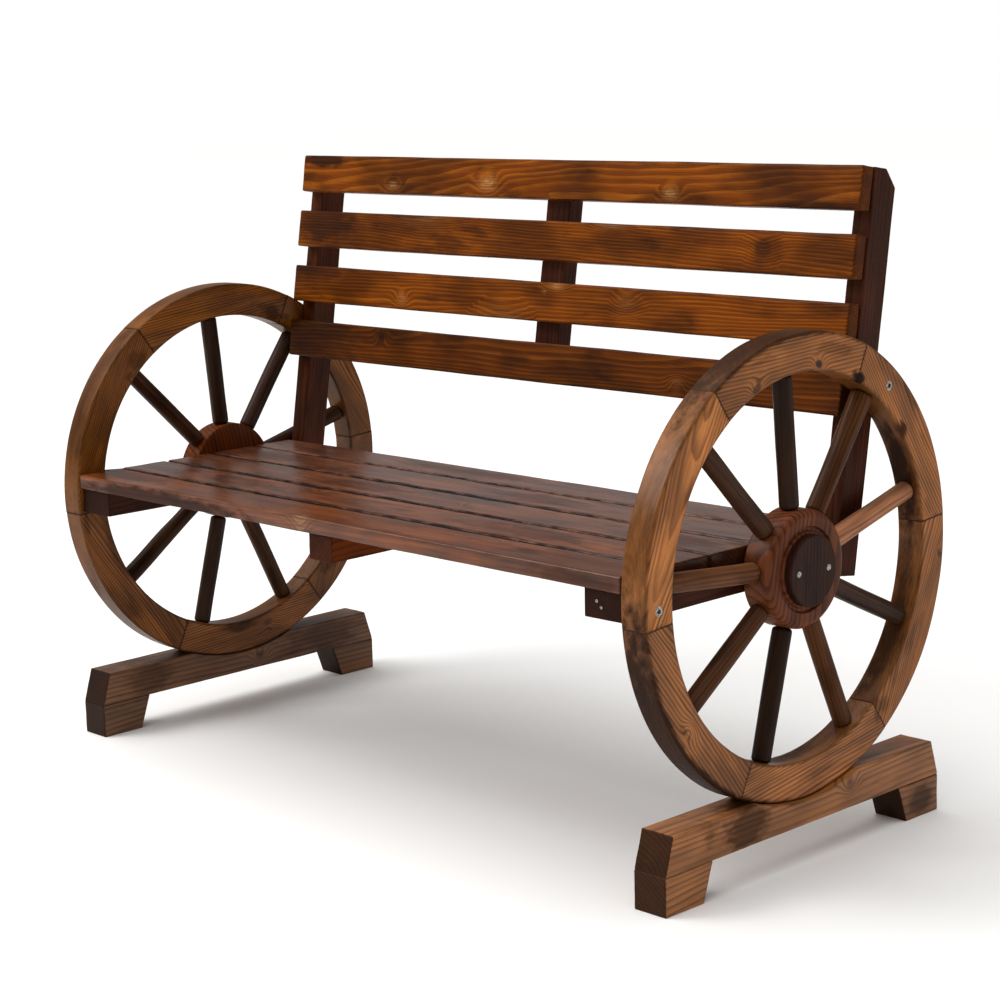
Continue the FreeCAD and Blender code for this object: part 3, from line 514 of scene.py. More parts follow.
def fir_group():
    """Carbonised fir: rings about a pith that swerve round knots, fibres, scorched patches, a few of them
    painted shade, and rim sides partly darkened with painted shade.
    """
    tree = bpy.data.node_groups.new("Carbonised fir", "ShaderNodeTree")
    for in_out, sockets in (("INPUT", FIR_INPUTS), ("OUTPUT", FIR_OUTPUTS)):
        for name, kind in sockets.items():
            tree.interface.new_socket(name=name, in_out=in_out, socket_type=kind)
    given = tree.nodes.new("NodeGroupInput").outputs
    read = read_marks(tree)
    pattern = {}
    for name, (*widths, detail) in PATTERNS.items():
        scaled = add(tree, VECTOR, [read["grain"], cells(*widths)], operation="MULTIPLY")
        pattern[name] = add(tree, NOISE, {"Vector": scaled, "Scale": 1.0, "Detail": detail})

    streak = add(tree, RANGE, [pattern["streak"], 0.25, 0.75], **EASE)
    turn, line = ring_lines(tree, given, read, pattern)
    wood, cloud = ground(tree, given, read, line, streak, pattern)
    wood = knotted(tree, given, read, wood, turn, streak)
    char_and_painted_shade = flame(tree, given, read, pattern)
    # The char colour goes where the wood is burnt and also where shade is painted.
    wood = add(tree, "ShaderNodeMixRGB", [char_and_painted_shade, wood, given["Char"]])

    # Fibres and char are rougher, and so are the patches of painted shade; the lacquer lies smoother over
    # the clouds.
    rough = add(tree, MATH, [streak, 0.14, given["Roughness"]], operation="MULTIPLY_ADD")
    rough = add(tree, MATH, [char_and_painted_shade, 0.08, rough], operation="MULTIPLY_ADD")
    rough = add(tree, MATH, [cloud, -0.08, rough], operation="MULTIPLY_ADD")
    height = add(tree, MATH, [line, 0.7, streak], operation="MULTIPLY_ADD")
    add(tree, "NodeGroupOutput", {"Colour": wood, "Roughness": rough, "Height": height, "Char and painted shade": char_and_painted_shade})
    return tree


def lacquered_fir(name):
    """Fir under a thin semi-gloss lacquer, which gives soft pale highlights over the grain."""
    full_name = f"Carbonised fir, {name}"
    if full_name in bpy.data.materials:
        return bpy.data.materials[full_name]
    group = bpy.data.node_groups.get("Carbonised fir") or fir_group()
    material = bpy.data.materials.new(full_name)
    material.use_nodes = True
    tree = material.node_tree
    tree.nodes.clear()
    coat = COATS[name]
    palette = {"Wood": f"{name}_wood", "Line": f"{name}_line", "Char": "char", "Knot": "knot"}
    fir = add(tree, "ShaderNodeGroup", node_tree=group)
    for socket, prop in palette.items():
        fir.inputs[socket].default_value = (*getattr(colours(), prop), 1)
    for socket, value in (SAME_ON_SIDES | FINISHES[name]).items():
        fir.inputs[socket].default_value = value
    relief = add(tree, "ShaderNodeBump", {
        "Strength": 0.5,
        "Distance": 0.4 * MM,
        "Height": fir.outputs["Height"],
    })
    # Char drinks the lacquer in, so burnt wood shines less, and the patches of painted shade shine less
    # too.
    shine = add(tree, RANGE, [fir.outputs["Char and painted shade"], 0.0, 1.0, coat, 0.12 * coat])
    shader = add(tree, "ShaderNodeBsdfPrincipled", {
        "Base Color": fir.outputs["Colour"],
        "Roughness": fir.outputs["Roughness"],
        "Normal": relief,
        "IOR": 1.5,
        "Specular IOR Level": 0.03,
        "Coat Weight": shine,
        "Coat Roughness": 0.28,
    })
    add(tree, "ShaderNodeOutputMaterial", {"Surface": shader})
    return material


def zinc_plated_steel():
    """Zinc-plated steel: a dull silver with fine scratches and a few grey stains."""
    name = "Zinc-plated steel"
    if name in bpy.data.materials:
        return bpy.data.materials[name]
    material = bpy.data.materials.new(name)
    material.use_nodes = True
    tree = material.node_tree
    tree.nodes.clear()
    place = add(tree, "ShaderNodeTexCoord").outputs["Object"]
    stain = add(tree, NOISE, {"Vector": place, "Scale": cells(2.5)[0], "Detail": 3.0})
    scratch = add(tree, NOISE, {"Vector": place, "Scale": cells(0.6)[0], "Detail": 2.0})
    steel = colours().steel
    worn = add(tree, "ShaderNodeMixRGB", [
        add(tree, RANGE, [stain, 0.42, 0.62], **EASE),
        (*steel, 1),
        (*(0.35 * part for part in steel), 1),
    ])
    shader = add(tree, "ShaderNodeBsdfPrincipled", {
        "Base Color": worn,
        "Metallic": 1.0,
        "Roughness": add(tree, RANGE, [scratch, 0.3, 0.7, 0.28, 0.48], **EASE),
    })
    add(tree, "ShaderNodeOutputMaterial", {"Surface": shader})
    return material


# ---------------------------------------------------------------- shaping

# How far apart the loops that carry the marks lie, in metres: along, across and through a
# board, across and through a felloe, along a spoke, and both ways over a hub or cap.
BOARD_LOOPS = (0.015, 0.0085, 0.0085)
FELLOE_LOOPS = (0.0075, 0.009)
FELLOE_STEPS = 30
SPOKE_LOOP = 0.014
DISC_LOOP = 0.012
# How far brushing lifts and lowers a face, in millimetres.
BOARD_SWELL = 0.5
SAWN_SWELL = 0.4
FELLOE_SWELL = 0.35
SPOKE_SWELL = 0.6
KNOTTY_SWELL = 2.4


def rounded(corners, steps=4):
    """An outline's corners (x, y, radius), each with its corner drawn as an arc."""
    points = []
    for index, (x, y, radius) in enumerate(corners):
        here = Vector((x, y))
        if radius == 0:
            points.append(here)
            continue
        before = (Vector(corners[index - 1][:2]) - here).normalized()
        after = (Vector(corners[(index + 1) % len(corners)][:2]) - here).normalized()
        half = before.angle(after) / 2
        centre = here + (before + after).normalized() * radius / math.sin(half)
        start = here + before * radius / math.tan(half) - centre
        stop = here + after * radius / math.tan(half) - centre
        for step in range(steps + 1):
            points.append(centre + start.lerp(stop, step / steps).normalized() * radius)
    return points


def round_edges(bm, radius, edges=None, segments=3):
    bmesh.ops.bevel(
        bm, geom=list(edges or bm.edges), offset=radius, offset_type="OFFSET", segments=segments,
        affect="EDGES", profile=0.5, material=-1,
    )


def slab(bm, outline, thickness):
    """An outline in the XY plane, drawn out to a thickness about that plane."""
    face = bm.faces.new([bm.verts.new((x, y, -thickness / 2)) for x, y in outline])
    grown = bmesh.ops.extrude_face_region(bm, geom=[face])["geom"]
    raised = [item for item in grown if isinstance(item, bmesh.types.BMVert)]
    bmesh.ops.translate(bm, vec=(0, 0, thickness), verts=raised)
    bmesh.ops.recalc_face_normals(bm, faces=bm.faces)


def board(bm, size, rounding):
    """A board about the origin with rounded edges."""
    bmesh.ops.create_cube(bm, size=1)
    bmesh.ops.scale(bm, vec=size, verts=bm.verts)
    round_edges(bm, rounding)


def slice_up(bm, axis, spacing):
    """Loops at an even spacing, one of them in the middle, for the marks to hang on."""
    places = [vert.co[axis] for vert in bm.verts]
    low, high = min(places), max(places)
    count = 2 * max(1, round((high - low) / spacing / 2))
    across = Vector()
    across[axis] = 1
    for step in range(1, count):
        bmesh.ops.bisect_plane(
            bm, geom=bm.verts[:] + bm.edges[:] + bm.faces[:], dist=1e-6,
            plane_co=across * (low + (high - low) * step / count), plane_no=across,
        )


def turned(bm, profile, steps=64):
    """A profile of (radius, height) points turned about Z."""
    verts = [bm.verts.new((radius, 0, height)) for radius, height in profile]
    edges = [bm.edges.new(pair) for pair in zip(verts, verts[1:])]
    bmesh.ops.spin(
        bm, geom=verts + edges, cent=(0, 0, 0), axis=(0, 0, 1), angle=2 * math.pi, steps=steps,
        use_merge=True,
    )
    bmesh.ops.remove_doubles(bm, verts=bm.verts, dist=1e-6)
    bmesh.ops.recalc_face_normals(bm, faces=bm.faces)


def weather(bm, seed, amount):
    """Brushing leaves no face quite flat: each lifts and sinks by up to an amount, slowly along
    the grain and faster across it."""
    bm.normal_update()
    lifts = []
    for vert in bm.verts:
        x, y, z = vert.co
        place = Vector((x / 0.07 + 13.7 * seed, y / 0.02, z / 0.02))
        lifts.append(vert.normal * noise.noise(place) * amount)
    for vert, lift in zip(bm.verts, lifts):
        vert.co += lift


def new_object(name, bm):
    mesh = bpy.data.meshes.new(name)
    bm.to_mesh(mesh)
    bm.free()
    item = bpy.data.objects.new(name, mesh)
    bpy.context.scene.collection.objects.link(item)
    return item


def drill(item, place, radius, depth):
    """A flat-bottomed hole into a face that looks along local Z."""
    bm = bmesh.new()
    bmesh.ops.create_cone(bm, cap_ends=True, segments=40, radius1=radius, radius2=radius, depth=2 * depth)
    bmesh.ops.translate(bm, vec=place, verts=bm.verts)
    tool = new_object("drill", bm)
    cut = item.modifiers.new("Hole", "BOOLEAN")
    cut.operation = "DIFFERENCE"
    cut.solver = "EXACT"
    cut.object = tool
    plain = item.data
    item.data = bpy.data.meshes.new_from_object(item.evaluated_get(bpy.context.evaluated_depsgraph_get()))
    item.modifiers.clear()
    bpy.data.objects.remove(tool)
    bpy.data.meshes.remove(plain)


# ---------------------------------------------------------------- wooden pieces

def axes(origin, along, across):
    """The place of a piece: X along its grain, Y across its face, Z out of that face."""
    along = Vector(along).normalized()
    across = Vector(across).normalized()
    place = Matrix((along, across, along.cross(across))).transposed().to_4x4()
    place.translation = origin
    return place


def up_the_back():
    """Directions of the back: up its slope, and out of its front."""
    lean = sizes().back_lean
    return Vector((0, math.sin(lean), math.cos(lean))), Vector((0, -math.cos(lean), math.sin(lean)))


def middle_of(node):
    low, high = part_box(node)
    return (low + high) / 2


def leaning_size(node):
    """Height up the slope and thickness of a leaning board, from its upright box."""
    low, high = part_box(node)
    deep, tall = high.y - low.y, high.z - low.z
    sine, cosine = math.sin(sizes().back_lean), math.cos(sizes().back_lean)
    spread = cosine * cosine - sine * sine
    return (tall * cosine - deep * sine) / spread, (deep * cosine - tall * sine) / spread


def seed_of(name):
    return sum(ord(letter) * (index + 3) for index, letter in enumerate(name)) % 97


def pith_of(name):
    """Where the log's heart runs beside a piece: across it, out of it, and its drift along it."""
    if name in PITHS:
        return PITHS[name]
    seed = seed_of(name)
    across = (42 + seed % 5 * 9) * (-1) ** seed
    return across, -18 - seed % 4 * 10, (seed % 7 - 3) * 0.015


def nearest(marks, point, count):
    """The nearest mark as distances in its own half sizes, and its strength, 0 when far off.

    Far off is more than about two and a half of its half sizes, and not just beside it."""
    best = (9.0,) * count, 0.0
    least = None
    for mark in marks:
        middle, halves = mark[:count], mark[count:-1]
        away = [part / MM - start for part, start in zip(point, middle)]
        far = [part / half for part, half in zip(away, halves)]
        size = sum(part * part for part in far)
        if least is None or size < least:
            least = size
            close = size < 6 or (abs(away[0]) < 24 and abs(away[1]) < 10)
            best = tuple(far), mark[-1] if close else 0.0
    return best


def finish_wood(node, item, place, finish, depths, measure=None, marks=None):
    """Gives a piece its grain, marks and finish, lays it where its CAD node is and stands for it.

    `depths` gives a point's distances below the piece's ends, sides and faces, and `measure`
    turns a point to the axes that the marks are given in."""
    mesh = item.data
    across, out, drift = pith_of(node)
    knots, scorches = marks or (BOARD_KNOTS.get(node, []), BOARD_SCORCHES_AND_SHADE.get(node, []))
    brightness, warmth = TONES.get(node, (1.0, 0.0))
    values = {name: [] for name in MARKS}
    for vert in mesh.vertices:
        x, y, z = vert.co
        at = measure(vert.co) if measure else vert.co
        knot, tone = nearest(knots, at, 2)
        scorch_and_shade, strength = nearest(scorches, at, 3)
        values["grain"].append((x + 1.37 * seed_of(node), y - across * MM, z - out * MM - drift * x))
        values["knot"].append((*knot, tone))
        # Only the distance to the scorch mark (char, in a few places painted shade) is kept, since a vector
        # would turn through zero between points.
        values["scorch_and_shade"].append((math.hypot(*scorch_and_shade), 0, 0))
        values["tone"].append((brightness, warmth, strength))
        values["edge"].append(depths(vert.co))
    for name, vectors in values.items():
        layer = mesh.attributes.new(name, "FLOAT_VECTOR", "POINT")
        layer.data.foreach_set("vector", [part for vector in vectors for part in vector])
    mesh.transform(place)
    mesh.materials.clear()
    mesh.materials.append(lacquered_fir(finish))
    mesh.polygons.foreach_set("use_smooth", [True] * len(mesh.polygons))
    mesh.set_sharp_from_angle(angle=math.radians(40))
    even = item.modifiers.new("Even shading", "WEIGHTED_NORMAL")
    even.keep_sharp = True
    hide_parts(node)
    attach(item, "root")


def box_depths(size):
    """Distances below the ends, sides and faces of a board that lies about the origin."""
    return lambda point: [half / 2 - abs(part) for half, part in zip(size, point)]


def make_board(node, size, place, finish, rounding):
    bm = bmesh.new()
    board(bm, size, rounding)
    for axis, spacing in enumerate(BOARD_LOOPS):
        slice_up(bm, axis, spacing)
    weather(bm, seed_of(node), BOARD_SWELL * MM)
    finish_wood(node, new_object(f"{node}_wood", bm), place, finish, box_depths(size))


def make_prism(node, outline, thickness, place, finish, depths):
    """A sawn piece: an outline in its own X and Y drawn out to a thickness along Z."""
    bm = bmesh.new()
    slab(bm, outline, thickness)
    sharp = [edge for edge in bm.edges if edge.calc_face_angle() > math.radians(15)]
    round_edges(bm, sizes().frame_round, sharp)
    for axis, spacing in enumerate(BOARD_LOOPS):
        slice_up(bm, axis, spacing)
    weather(bm, seed_of(node), SAWN_SWELL * MM)
    finish_wood(node, new_object(f"{node}_wood", bm), place, finish, depths)


# ---------------------------------------------------------------- wheels

def rim_middle():
    return wheel_radius() - sizes().rim_width / 2


def wheel_radius():
    """How far back the rim reaches, since felloe 6 crosses the level of the axle."""
    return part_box("right_felloe_6")[1].y


def axle_height():
    return middle_of("right_hub").z


def on_wheel(node, side, angle, distance):
    """The place of a wheel's piece with its Y out from the axle and its Z out of the wheel."""
    out = Vector((0, math.cos(angle), math.sin(angle)))
    origin = Vector((middle_of(node).x, 0, axle_height())) + out * distance
    return axes(origin, out.cross((side, 0, 0)), out)


def wheel_marks(marks, side, centre):
    """A wheel's marks as distances along and across one felloe."""
    laid = []
    for angle, radius, *rest in marks:
        turn = (angle - centre + 180) % 360 - 180
        laid.append((-side * math.radians(turn) * radius, radius - rim_middle() / MM, *rest))
    return laid


def bolt_places():
    """The middles of the front and the rear wheel bolts, as Y and Z."""
    low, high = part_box("wheel_bolts")
    reach = sizes().bolt_head / 2
    return (low.y + reach, low.z + reach), (high.y - reach, high.z - reach)


def bend_felloe(axle, half_width, half_depth, turn):
    """A rounded section spun about the axle, with its square ends just rounded."""
    size = sizes()
    corners = [
        (-half_width, -half_depth, size.rim_round), (half_width, -half_depth, size.rim_round),
        (half_width, half_depth, size.rim_round), (-half_width, half_depth, size.rim_round),
    ]
    bm = bmesh.new()
    bm.faces.new([bm.verts.new((0, across, out)) for across, out in rounded(corners)])
    for axis, spacing in enumerate(FELLOE_LOOPS, 1):
        slice_up(bm, axis, spacing)
    bmesh.ops.rotate(bm, cent=axle, matrix=Matrix.Rotation(-turn / 2, 3, "Z"), verts=bm.verts)
    bmesh.ops.spin(
        bm, geom=bm.verts[:] + bm.edges[:] + bm.faces[:], cent=axle, axis=(0, 0, 1), angle=turn,
        steps=FELLOE_STEPS,
    )
    bmesh.ops.recalc_face_normals(bm, faces=bm.faces)
    ends = [edge for edge in bm.edges if edge.calc_face_angle() > math.radians(60)]
    round_edges(bm, size.joint_round, ends, segments=2)
    return bm


def make_felloe(name, side, index):
    """One bent segment of a rim, with holes for the bolts that pass through it."""
    size = sizes()
    node = f"{name}_felloe_{index + 1}"
    part = 360 / size.felloe_count
    turn = math.radians(part)
    centre = math.degrees(size.joint_angle) + part * (index + 0.5)
    middle = rim_middle()
    axle = Vector((0, -middle, 0))
    place = on_wheel(node, side, math.radians(centre), middle)
    low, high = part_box(node)
    half_width, half_depth = size.rim_width / 2, (high.x - low.x) / 2
    bm = bend_felloe(axle, half_width, half_depth, turn)
    weather(bm, seed_of(node), FELLOE_SWELL * MM)

    def measure(point):
        radius = math.hypot(point.x, point.y - axle.y)
        return math.atan2(point.x, point.y - axle.y) * radius, radius - middle, point.z

    item = new_object(f"{node}_wood", bm)
    for y, z in bolt_places():
        bolt = place.inverted() @ Vector((0, y, z))
        along, across, out = measure(bolt)
        if abs(along) < turn / 2 * middle and abs(across) < half_width:
            drill(item, (bolt.x, bolt.y, half_depth), size.bolt_hole / 2, size.bolt_hole_depth)

    def depths(point):
        along, across, out = measure(point)
        radius = middle + across
        return turn / 2 * radius - abs(along), half_width - abs(across), half_depth - abs(out)

    knots = wheel_marks(WHEEL_KNOTS[name], side, centre)
    scorches = wheel_marks(WHEEL_SCORCHES[name], side, centre)
    finish_wood(node, item, place, "rim", depths, measure, (knots, scorches))


def make_spoke(name, side, index):
    """A dowel between hub and rim, rounded at both shoulders, with a tenon at each end."""
    size = sizes()
    node = f"{name}_spoke_{index + 1}"
    angle = size.spoke_angle + 2 * math.pi * index / size.spoke_count
    inner = hub_radius()
    outer = wheel_radius() - size.rim_width
    half = (outer - inner) / 2
    radius, tenon = size.spoke_diameter / 2, size.tenon_diameter / 2
    end = half + size.tenon_length
    upper = rounded([(tenon, half, 0), (radius, half, size.spoke_round), (radius, 0, 0)])
    profile = [(0, end), (tenon, end), *((point.x, point.y) for point in upper)]
    profile += [(across, -along) for across, along in reversed(profile[:-1])]
    bm = bmesh.new()
    turned(bm, profile, 40)
    slice_up(bm, 2, SPOKE_LOOP)
    bmesh.ops.rotate(bm, cent=(0, 0, 0), matrix=Matrix.Rotation(math.radians(90), 3, "Y"), verts=bm.verts)
    thicken = THICK_SPOKES.get(node, 0)
    for vert in bm.verts:
        if abs(vert.co.x) < half:
            share = 1 + thicken * (0.5 + vert.co.x / half / 2) ** 2
            vert.co.yz = vert.co.y * share, vert.co.z * share
    swell = KNOTTY_SWELL if node in KNOTTY_SPOKES else SPOKE_SWELL
    weather(bm, seed_of(node), swell * MM)
    out = Vector((0, math.cos(angle), math.sin(angle)))
    origin = Vector((middle_of(node).x, 0, axle_height())) + out * (inner + outer) / 2
    place = axes(origin, out, Vector((side, 0, 0)).cross(out))

    def depths(point):
        return half - abs(point.x), radius, radius - math.hypot(point.y, point.z)

    finish_wood(node, new_object(f"{node}_wood", bm), place, "spoke", depths)


def hub_radius():
    low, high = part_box("right_hub")
    return (high.z - low.z) / 2


def across_wheel(node, side, turn):
    """The place of a piece that lies flat on a wheel, its grain turned up from the level."""
    angle = math.radians(turn)
    along = Vector((0, side * math.cos(angle), math.sin(angle)))
    return axes(middle_of(node), along, Vector((side, 0, 0)).cross(along))


def make_hub(name, side):
    """A turned block with a groove in its face, round the cap."""
    size = sizes()
    node = f"{name}_hub"
    low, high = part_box(node)
    half = (high.x - low.x) / 2
    radius, groove, width, deep = hub_radius(), size.groove_radius, size.groove_width, size.groove_depth
    corners = [
        (0, -half, 0), (radius, -half, 0.003), (radius, half, size.hub_round), (groove, half, 0.0008),
        (groove - width * 0.25, half - deep, 0.0008), (groove - width * 0.8, half - deep, 0.0008),
        (groove - width, half, 0.0008), (0, half, 0),
    ]
    bm = bmesh.new()
    turned(bm, [(point.x, point.y) for point in rounded(corners)], 96)
    slice_up(bm, 0, DISC_LOOP)
    slice_up(bm, 1, DISC_LOOP)

    def depths(point):
        return radius, radius - math.hypot(point.x, point.y), half - abs(point.z)

    item = new_object(f"{node}_wood", bm)
    finish_wood(node, item, across_wheel(node, side, 78), "hub", depths)


def make_cap(name, side):
    """The disc over the hub, held by two sunk screws."""
    size = sizes()
    node = f"{name}_hub_cap"
    low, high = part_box(node)
    half, radius = (high.x - low.x) / 2, (high.z - low.z) / 2
    corners = [(0, -half, 0), (radius, -half, 0.0005), (radius, half, size.cap_round), (0, half, 0)]
    bm = bmesh.new()
    turned(bm, [(point.x, point.y) for point in rounded(corners)], 96)
    slice_up(bm, 0, DISC_LOOP)
    slice_up(bm, 1, DISC_LOOP)
    item = new_object(f"{node}_wood", bm)
    for sign in (-1, 1):
        drill(item, (0, sign * size.screw_offset, half), size.screw_hole / 2, size.screw_hole_depth)

    def depths(point):
        return radius, radius - math.hypot(point.x, point.y), half - abs(point.z)

    finish_wood(node, item, across_wheel(node, side, 88), "cap", depths)


# ---------------------------------------------------------------- feet, seat and back

def make_foot_beam(name):
    """A beam with sloping ends and an arc notch that its wheel stands in."""
    size = sizes()
    node = f"{name}_foot_beam"
    low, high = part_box(node)
    middle = (low + high) / 2
    half = (high.z - low.z) / 2
    below, top = size.foot_length / 2, size.foot_top / 2
    centre = axle_height() - middle.z
    notch = wheel_radius() + size.notch_play
    reach = math.asin(math.sqrt(notch ** 2 - (centre - half) ** 2) / notch)
    arc = [
        (notch * math.sin(reach * (1 - step / 10)), centre - notch * math.cos(reach * (1 - step / 10)))
        for step in range(21)
    ]
    outline = [(-below, -half), (below, -half), (top, half), *arc, (-top, half)]

    def depths(point):
        slope = (below - top) * (point.y + half) / (2 * half)
        over = math.hypot(point.x, point.y - centre) - notch
        ends = below - slope - abs(point.x)
        return ends, min(half - abs(point.y), over), (high.x - low.x) / 2 - abs(point.z)

    make_prism(node, outline, high.x - low.x, axes(middle, (0, 1, 0), (0, 0, 1)), "foot", depths)


def make_foot_block(name, end, sign):
    """A block under one end of a foot's beam, sloping toward the middle of the foot."""
    size = sizes()
    node = f"{name}_foot_block_{end}"
    low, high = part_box(node)
    middle = (low + high) / 2
    middle.y = sign * (size.foot_length - size.block_top) / 2
    half, long, short = (high.z - low.z) / 2, size.block_top / 2, size.block_bottom - size.block_top / 2
    outline = [(sign * long, -half), (sign * long, half), (-sign * long, half), (-sign * short, -half)]

    def depths(point):
        slope = (long - short) * (half - point.y) / (2 * half)
        outward = sign * point.x
        ends = min(long - outward, long - slope + outward)
        return ends, half - abs(point.y), (high.x - low.x) / 2 - abs(point.z)

    make_prism(node, outline, high.x - low.x, axes(middle, (0, 1, 0), (0, 0, 1)), "foot", depths)


def make_seat_slat(index):
    node = f"seat_slat_{index}"
    low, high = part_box(node)
    make_board(node, high - low, axes((low + high) / 2, (1, 0, 0), (0, 1, 0)), "seat", sizes().board_round)


def make_back_slat(index):
    node = f"back_slat_{index}"
    low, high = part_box(node)
    tall, thick = leaning_size(node)
    up = up_the_back()[0]
    size = Vector((high.x - low.x, tall, thick))
    make_board(node, size, axes((low + high) / 2, (1, 0, 0), up), "back", sizes().board_round)


def make_middle_bearer():
    node = "middle_bearer"
    low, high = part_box(node)
    size = Vector((high.y - low.y, high.z - low.z, high.x - low.x))
    make_board(node, size, axes((low + high) / 2, (0, 1, 0), (0, 0, 1)), "frame", sizes().frame_round)


def make_side_bearer(name):
    """A bearer whose rear end is cut to meet the leaning post."""
    node = f"{name}_bearer"
    low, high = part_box(node)
    size = high - low
    cut = size.z * math.tan(sizes().back_lean)
    half, tall = size.y / 2, size.z / 2
    outline = [(-half, -tall), (half - cut, -tall), (half, tall), (-half, tall)]

    def depths(point):
        rear = half - cut * (tall - point.y) / size.z - point.x
        return min(half + point.x, rear), tall - abs(point.y), size.x / 2 - abs(point.z)

    make_prism(node, outline, size.x, axes((low + high) / 2, (0, 1, 0), (0, 0, 1)), "frame", depths)


def make_side_post(name):
    """A post behind the seat, its rear top corner cut off."""
    node = f"{name}_post"
    low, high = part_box(node)
    up, front = up_the_back()
    width, corner = sizes().post_width, sizes().post_corner
    foot = Vector(((low.x + high.x) / 2, low.y, low.z + width * up.y))
    tall = (high.z - foot.z) / up.z
    half, wide = tall / 2, width / 2
    outline = [(-half, wide), (-half, -wide), (half - corner, -wide), (half, corner - wide), (half, wide)]

    def depths(point):
        return half - abs(point.x), wide - abs(point.y), (high.x - low.x) / 2 - abs(point.z)

    place = axes(foot + up * half - front * wide, up, front)
    make_prism(node, outline, high.x - low.x, place, "frame", depths)


def make_middle_post():
    """The post that ties the back slats in their middle, turned flat."""
    node = "middle_post"
    low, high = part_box(node)
    tall, thick = leaning_size(node)
    up, front = up_the_back()
    size = Vector((tall, high.x - low.x, thick))
    make_board(node, size, axes((low + high) / 2, up, front.cross(up)), "frame", sizes().frame_round)


# ---------------------------------------------------------------- stage

def make_floor():
    bm = bmesh.new()
    bmesh.ops.create_grid(bm, x_segments=1, y_segments=1, size=20)
    floor = new_object("studio_floor", bm)
    material = bpy.data.materials.new("Matt studio floor")
    material.use_nodes = True
    shader = material.node_tree.nodes["Principled BSDF"]
    shader.inputs["Base Color"].default_value = (*colours().floor, 1)
    shader.inputs["Roughness"].default_value = 0.9
    floor.data.materials.append(material)
    floor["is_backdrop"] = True


def add_light(name, place, aim, size, watts):
    """A soft rectangular light that looks at a point."""
    data = bpy.data.lights.new(name, "AREA")
    data.shape = "RECTANGLE"
    data.size, data.size_y = size
    data.energy = watts
    lamp = bpy.data.objects.new(name, data)
    lamp.location = place
    lamp.rotation_euler = (Vector(aim) - Vector(place)).to_track_quat("-Z", "Y").to_euler()
    bpy.context.scene.collection.objects.link(lamp)


def add_sky(strength):
    """An even light from a wide overcast sky, a little in front of straight above."""
    data = bpy.data.lights.new("sky", "SUN")
    data.energy = strength
    data.angle = math.radians(80)
    lamp = bpy.data.objects.new("sky", data)
    lamp.rotation_euler = (math.radians(14), math.radians(-12), 0)
    bpy.context.scene.collection.objects.link(lamp)


def add_camera():
    data = bpy.data.cameras.new("camera")
    data.sensor_width = 36
    data.lens = 84.19
    data.shift_x = 0.0407
    data.shift_y = 0.0236
    camera = bpy.data.objects.new("camera", data)
    turn = Matrix.Rotation(math.radians(46.675), 4, "Z")
    tilt = Matrix.Rotation(math.radians(90 - 11.371), 4, "X")
    roll = Matrix.Rotation(math.radians(-1.652), 4, "Z")
    camera.matrix_world = Matrix.Translation((2.1489, -2.0548, 0.9281)) @ turn @ tilt @ roll
    bpy.context.scene.collection.objects.link(camera)
    bpy.context.scene.camera = camera


# ---------------------------------------------------------------- operators

class BENCH_OT_rims(Operator):
    """Bends six felloes into a rim on each side"""
    bl_idname = "bench.rims"
    bl_label = "Rims"

    def execute(self, context):
        for name, side in SIDES.items():
            for index in range(sizes().felloe_count):
                make_felloe(name, side, index)
        return {"FINISHED"}


class BENCH_OT_spokes(Operator):
    """Turns nine spokes for each wheel"""
    bl_idname = "bench.spokes"
    bl_label = "Spokes"

    def execute(self, context):
        for name, side in SIDES.items():
            for index in range(sizes().spoke_count):
                make_spoke(name, side, index)
        return {"FINISHED"}


class BENCH_OT_hubs(Operator):
    """Turns the two hubs and their caps"""
    bl_idname = "bench.hubs"
    bl_label = "Hubs and caps"

    def execute(self, context):
        for name, side in SIDES.items():
            make_hub(name, side)
            make_cap(name, side)
        return {"FINISHED"}


class BENCH_OT_feet(Operator):
    """Saws the two feet, each a notched beam on two blocks"""
    bl_idname = "bench.feet"
    bl_label = "Feet"

    def execute(self, context):
        for name in SIDES:
            make_foot_beam(name)
            make_foot_block(name, "front", -1)
            make_foot_block(name, "rear", 1)
        return {"FINISHED"}


class BENCH_OT_seat(Operator):
    """Planes the five seat slats"""
    bl_idname = "bench.seat"
    bl_label = "Seat slats"

    def execute(self, context):
        for index in range(1, SEAT_SLATS + 1):
            make_seat_slat(index)
        return {"FINISHED"}


class BENCH_OT_bearers(Operator):
    """Saws the three bearers under the seat"""
    bl_idname = "bench.bearers"
    bl_label = "Bearers"

    def execute(self, context):
        make_middle_bearer()
        for name in SIDES:
            make_side_bearer(name)
        return {"FINISHED"}


class BENCH_OT_back(Operator):
    """Planes the four back slats"""
    bl_idname = "bench.back"
    bl_label = "Back slats"

    def execute(self, context):
        for index in range(1, BACK_SLATS + 1):
            make_back_slat(index)
        return {"FINISHED"}


class BENCH_OT_posts(Operator):
    """Saws the three posts that carry the back"""
    bl_idname = "bench.posts"
    bl_label = "Posts"

    def execute(self, context):
        make_middle_post()
        for name in SIDES:
            make_side_post(name)
        return {"FINISHED"}


class BENCH_OT_hardware(Operator):
    """Gives the bolts, screws and nails their steel"""
    bl_idname = "bench.hardware"
    bl_label = "Hardware"

    def execute(self, context):
        for node in ("wheel_bolts", "cap_screws", "bearer_nails"):
            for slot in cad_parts[node].material_slots:
                slot.material = zinc_plated_steel()
        return {"FINISHED"}


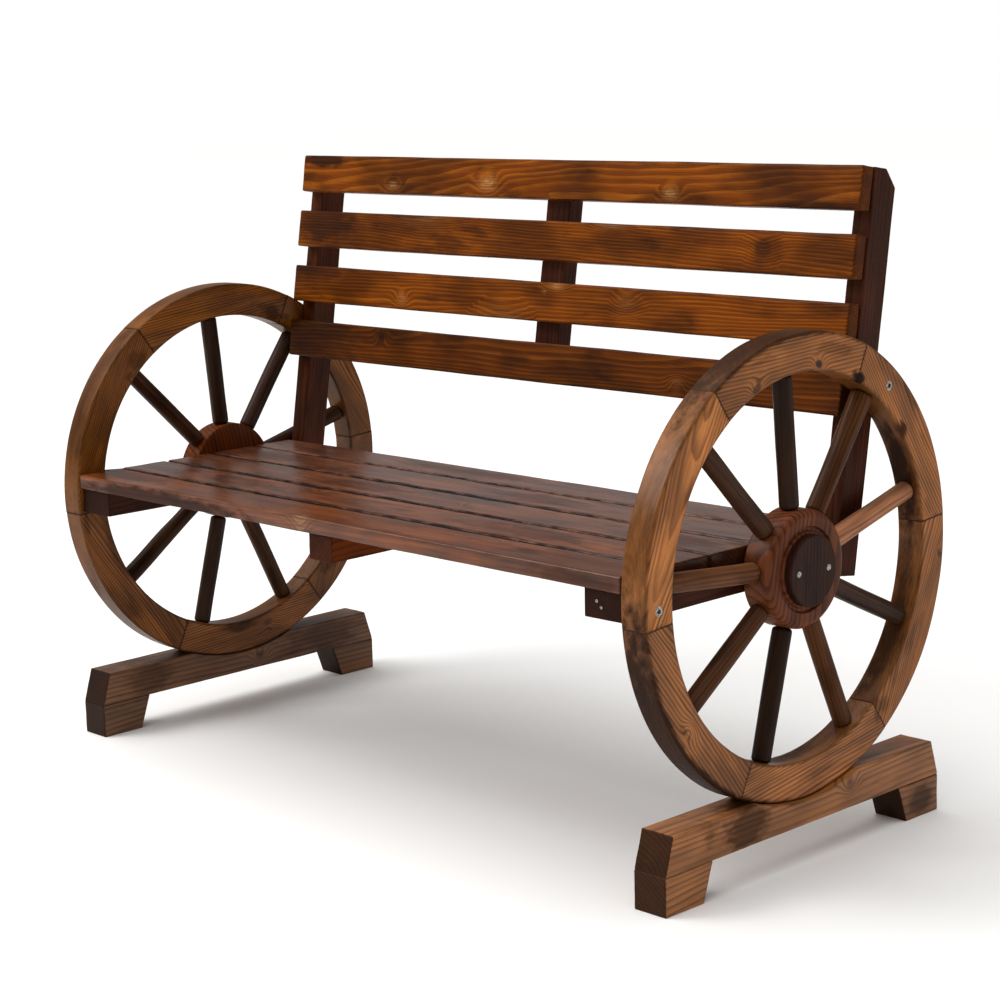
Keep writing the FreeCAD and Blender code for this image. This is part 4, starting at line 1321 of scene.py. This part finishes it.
class BENCH_OT_stage(Operator):
    """Sets the pale floor, the soft light and the camera"""
    bl_idname = "bench.stage"
    bl_label = "Studio"

    def execute(self, context):
        scene = context.scene
        make_floor()
        world = bpy.data.worlds.new("Studio")
        world.use_nodes = True
        tree = world.node_tree
        tree.nodes.clear()
        seen = add(tree, "ShaderNodeLightPath").outputs["Is Camera Ray"]
        strength = add(tree, RANGE, [seen, 0.0, 1.0, 0.35, 1.0])
        backdrop = add(tree, "ShaderNodeBackground", {"Color": (1, 1, 1, 1), "Strength": strength})
        add(tree, "ShaderNodeOutputWorld", {"Surface": backdrop})
        scene.world = world
        add_light("key", (-2.2, -2.6, 3.2), (0, 0, 0.4), (2.0, 2.0), 70)
        add_sky(2.6)
        add_camera()
        scene.view_settings.view_transform = "Standard"
        return {"FINISHED"}


class BENCH_PT_panel(Panel):
    """Lists the bench's pieces in the order they are made"""
    bl_label = "Wagon Wheel Bench"
    bl_idname = "BENCH_PT_panel"
    bl_space_type = "VIEW_3D"
    bl_region_type = "UI"
    bl_category = "Bench"

    def draw(self, context):
        for operator in OPERATORS:
            self.layout.operator(operator.bl_idname)


OPERATORS = (
    BENCH_OT_rims, BENCH_OT_spokes, BENCH_OT_hubs, BENCH_OT_feet, BENCH_OT_seat, BENCH_OT_bearers,
    BENCH_OT_back, BENCH_OT_posts, BENCH_OT_hardware, BENCH_OT_stage,
)
CLASSES = (BenchSizes, BenchColours, *OPERATORS, BENCH_PT_panel)


def register():
    for item in CLASSES:
        bpy.utils.register_class(item)
    bpy.types.Scene.bench_sizes = PointerProperty(type=BenchSizes)
    bpy.types.Scene.bench_colours = PointerProperty(type=BenchColours)


def unregister():
    del bpy.types.Scene.bench_colours
    del bpy.types.Scene.bench_sizes
    for item in reversed(CLASSES):
        bpy.utils.unregister_class(item)


def write_sizes():
    boxes = {"cad": CAD_BOX, "visual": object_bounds()}
    {name: [list(corner) for corner in box] for name, box in boxes.items()}


def main():
    register()
    bpy.ops.bench.rims()
    bpy.ops.bench.spokes()
    bpy.ops.bench.hubs()
    bpy.ops.bench.feet()
    bpy.ops.bench.seat()
    bpy.ops.bench.bearers()
    bpy.ops.bench.back()
    bpy.ops.bench.posts()
    bpy.ops.bench.hardware()
    bpy.ops.bench.stage()
    write_sizes()


if __name__ == "__main__":
    main()
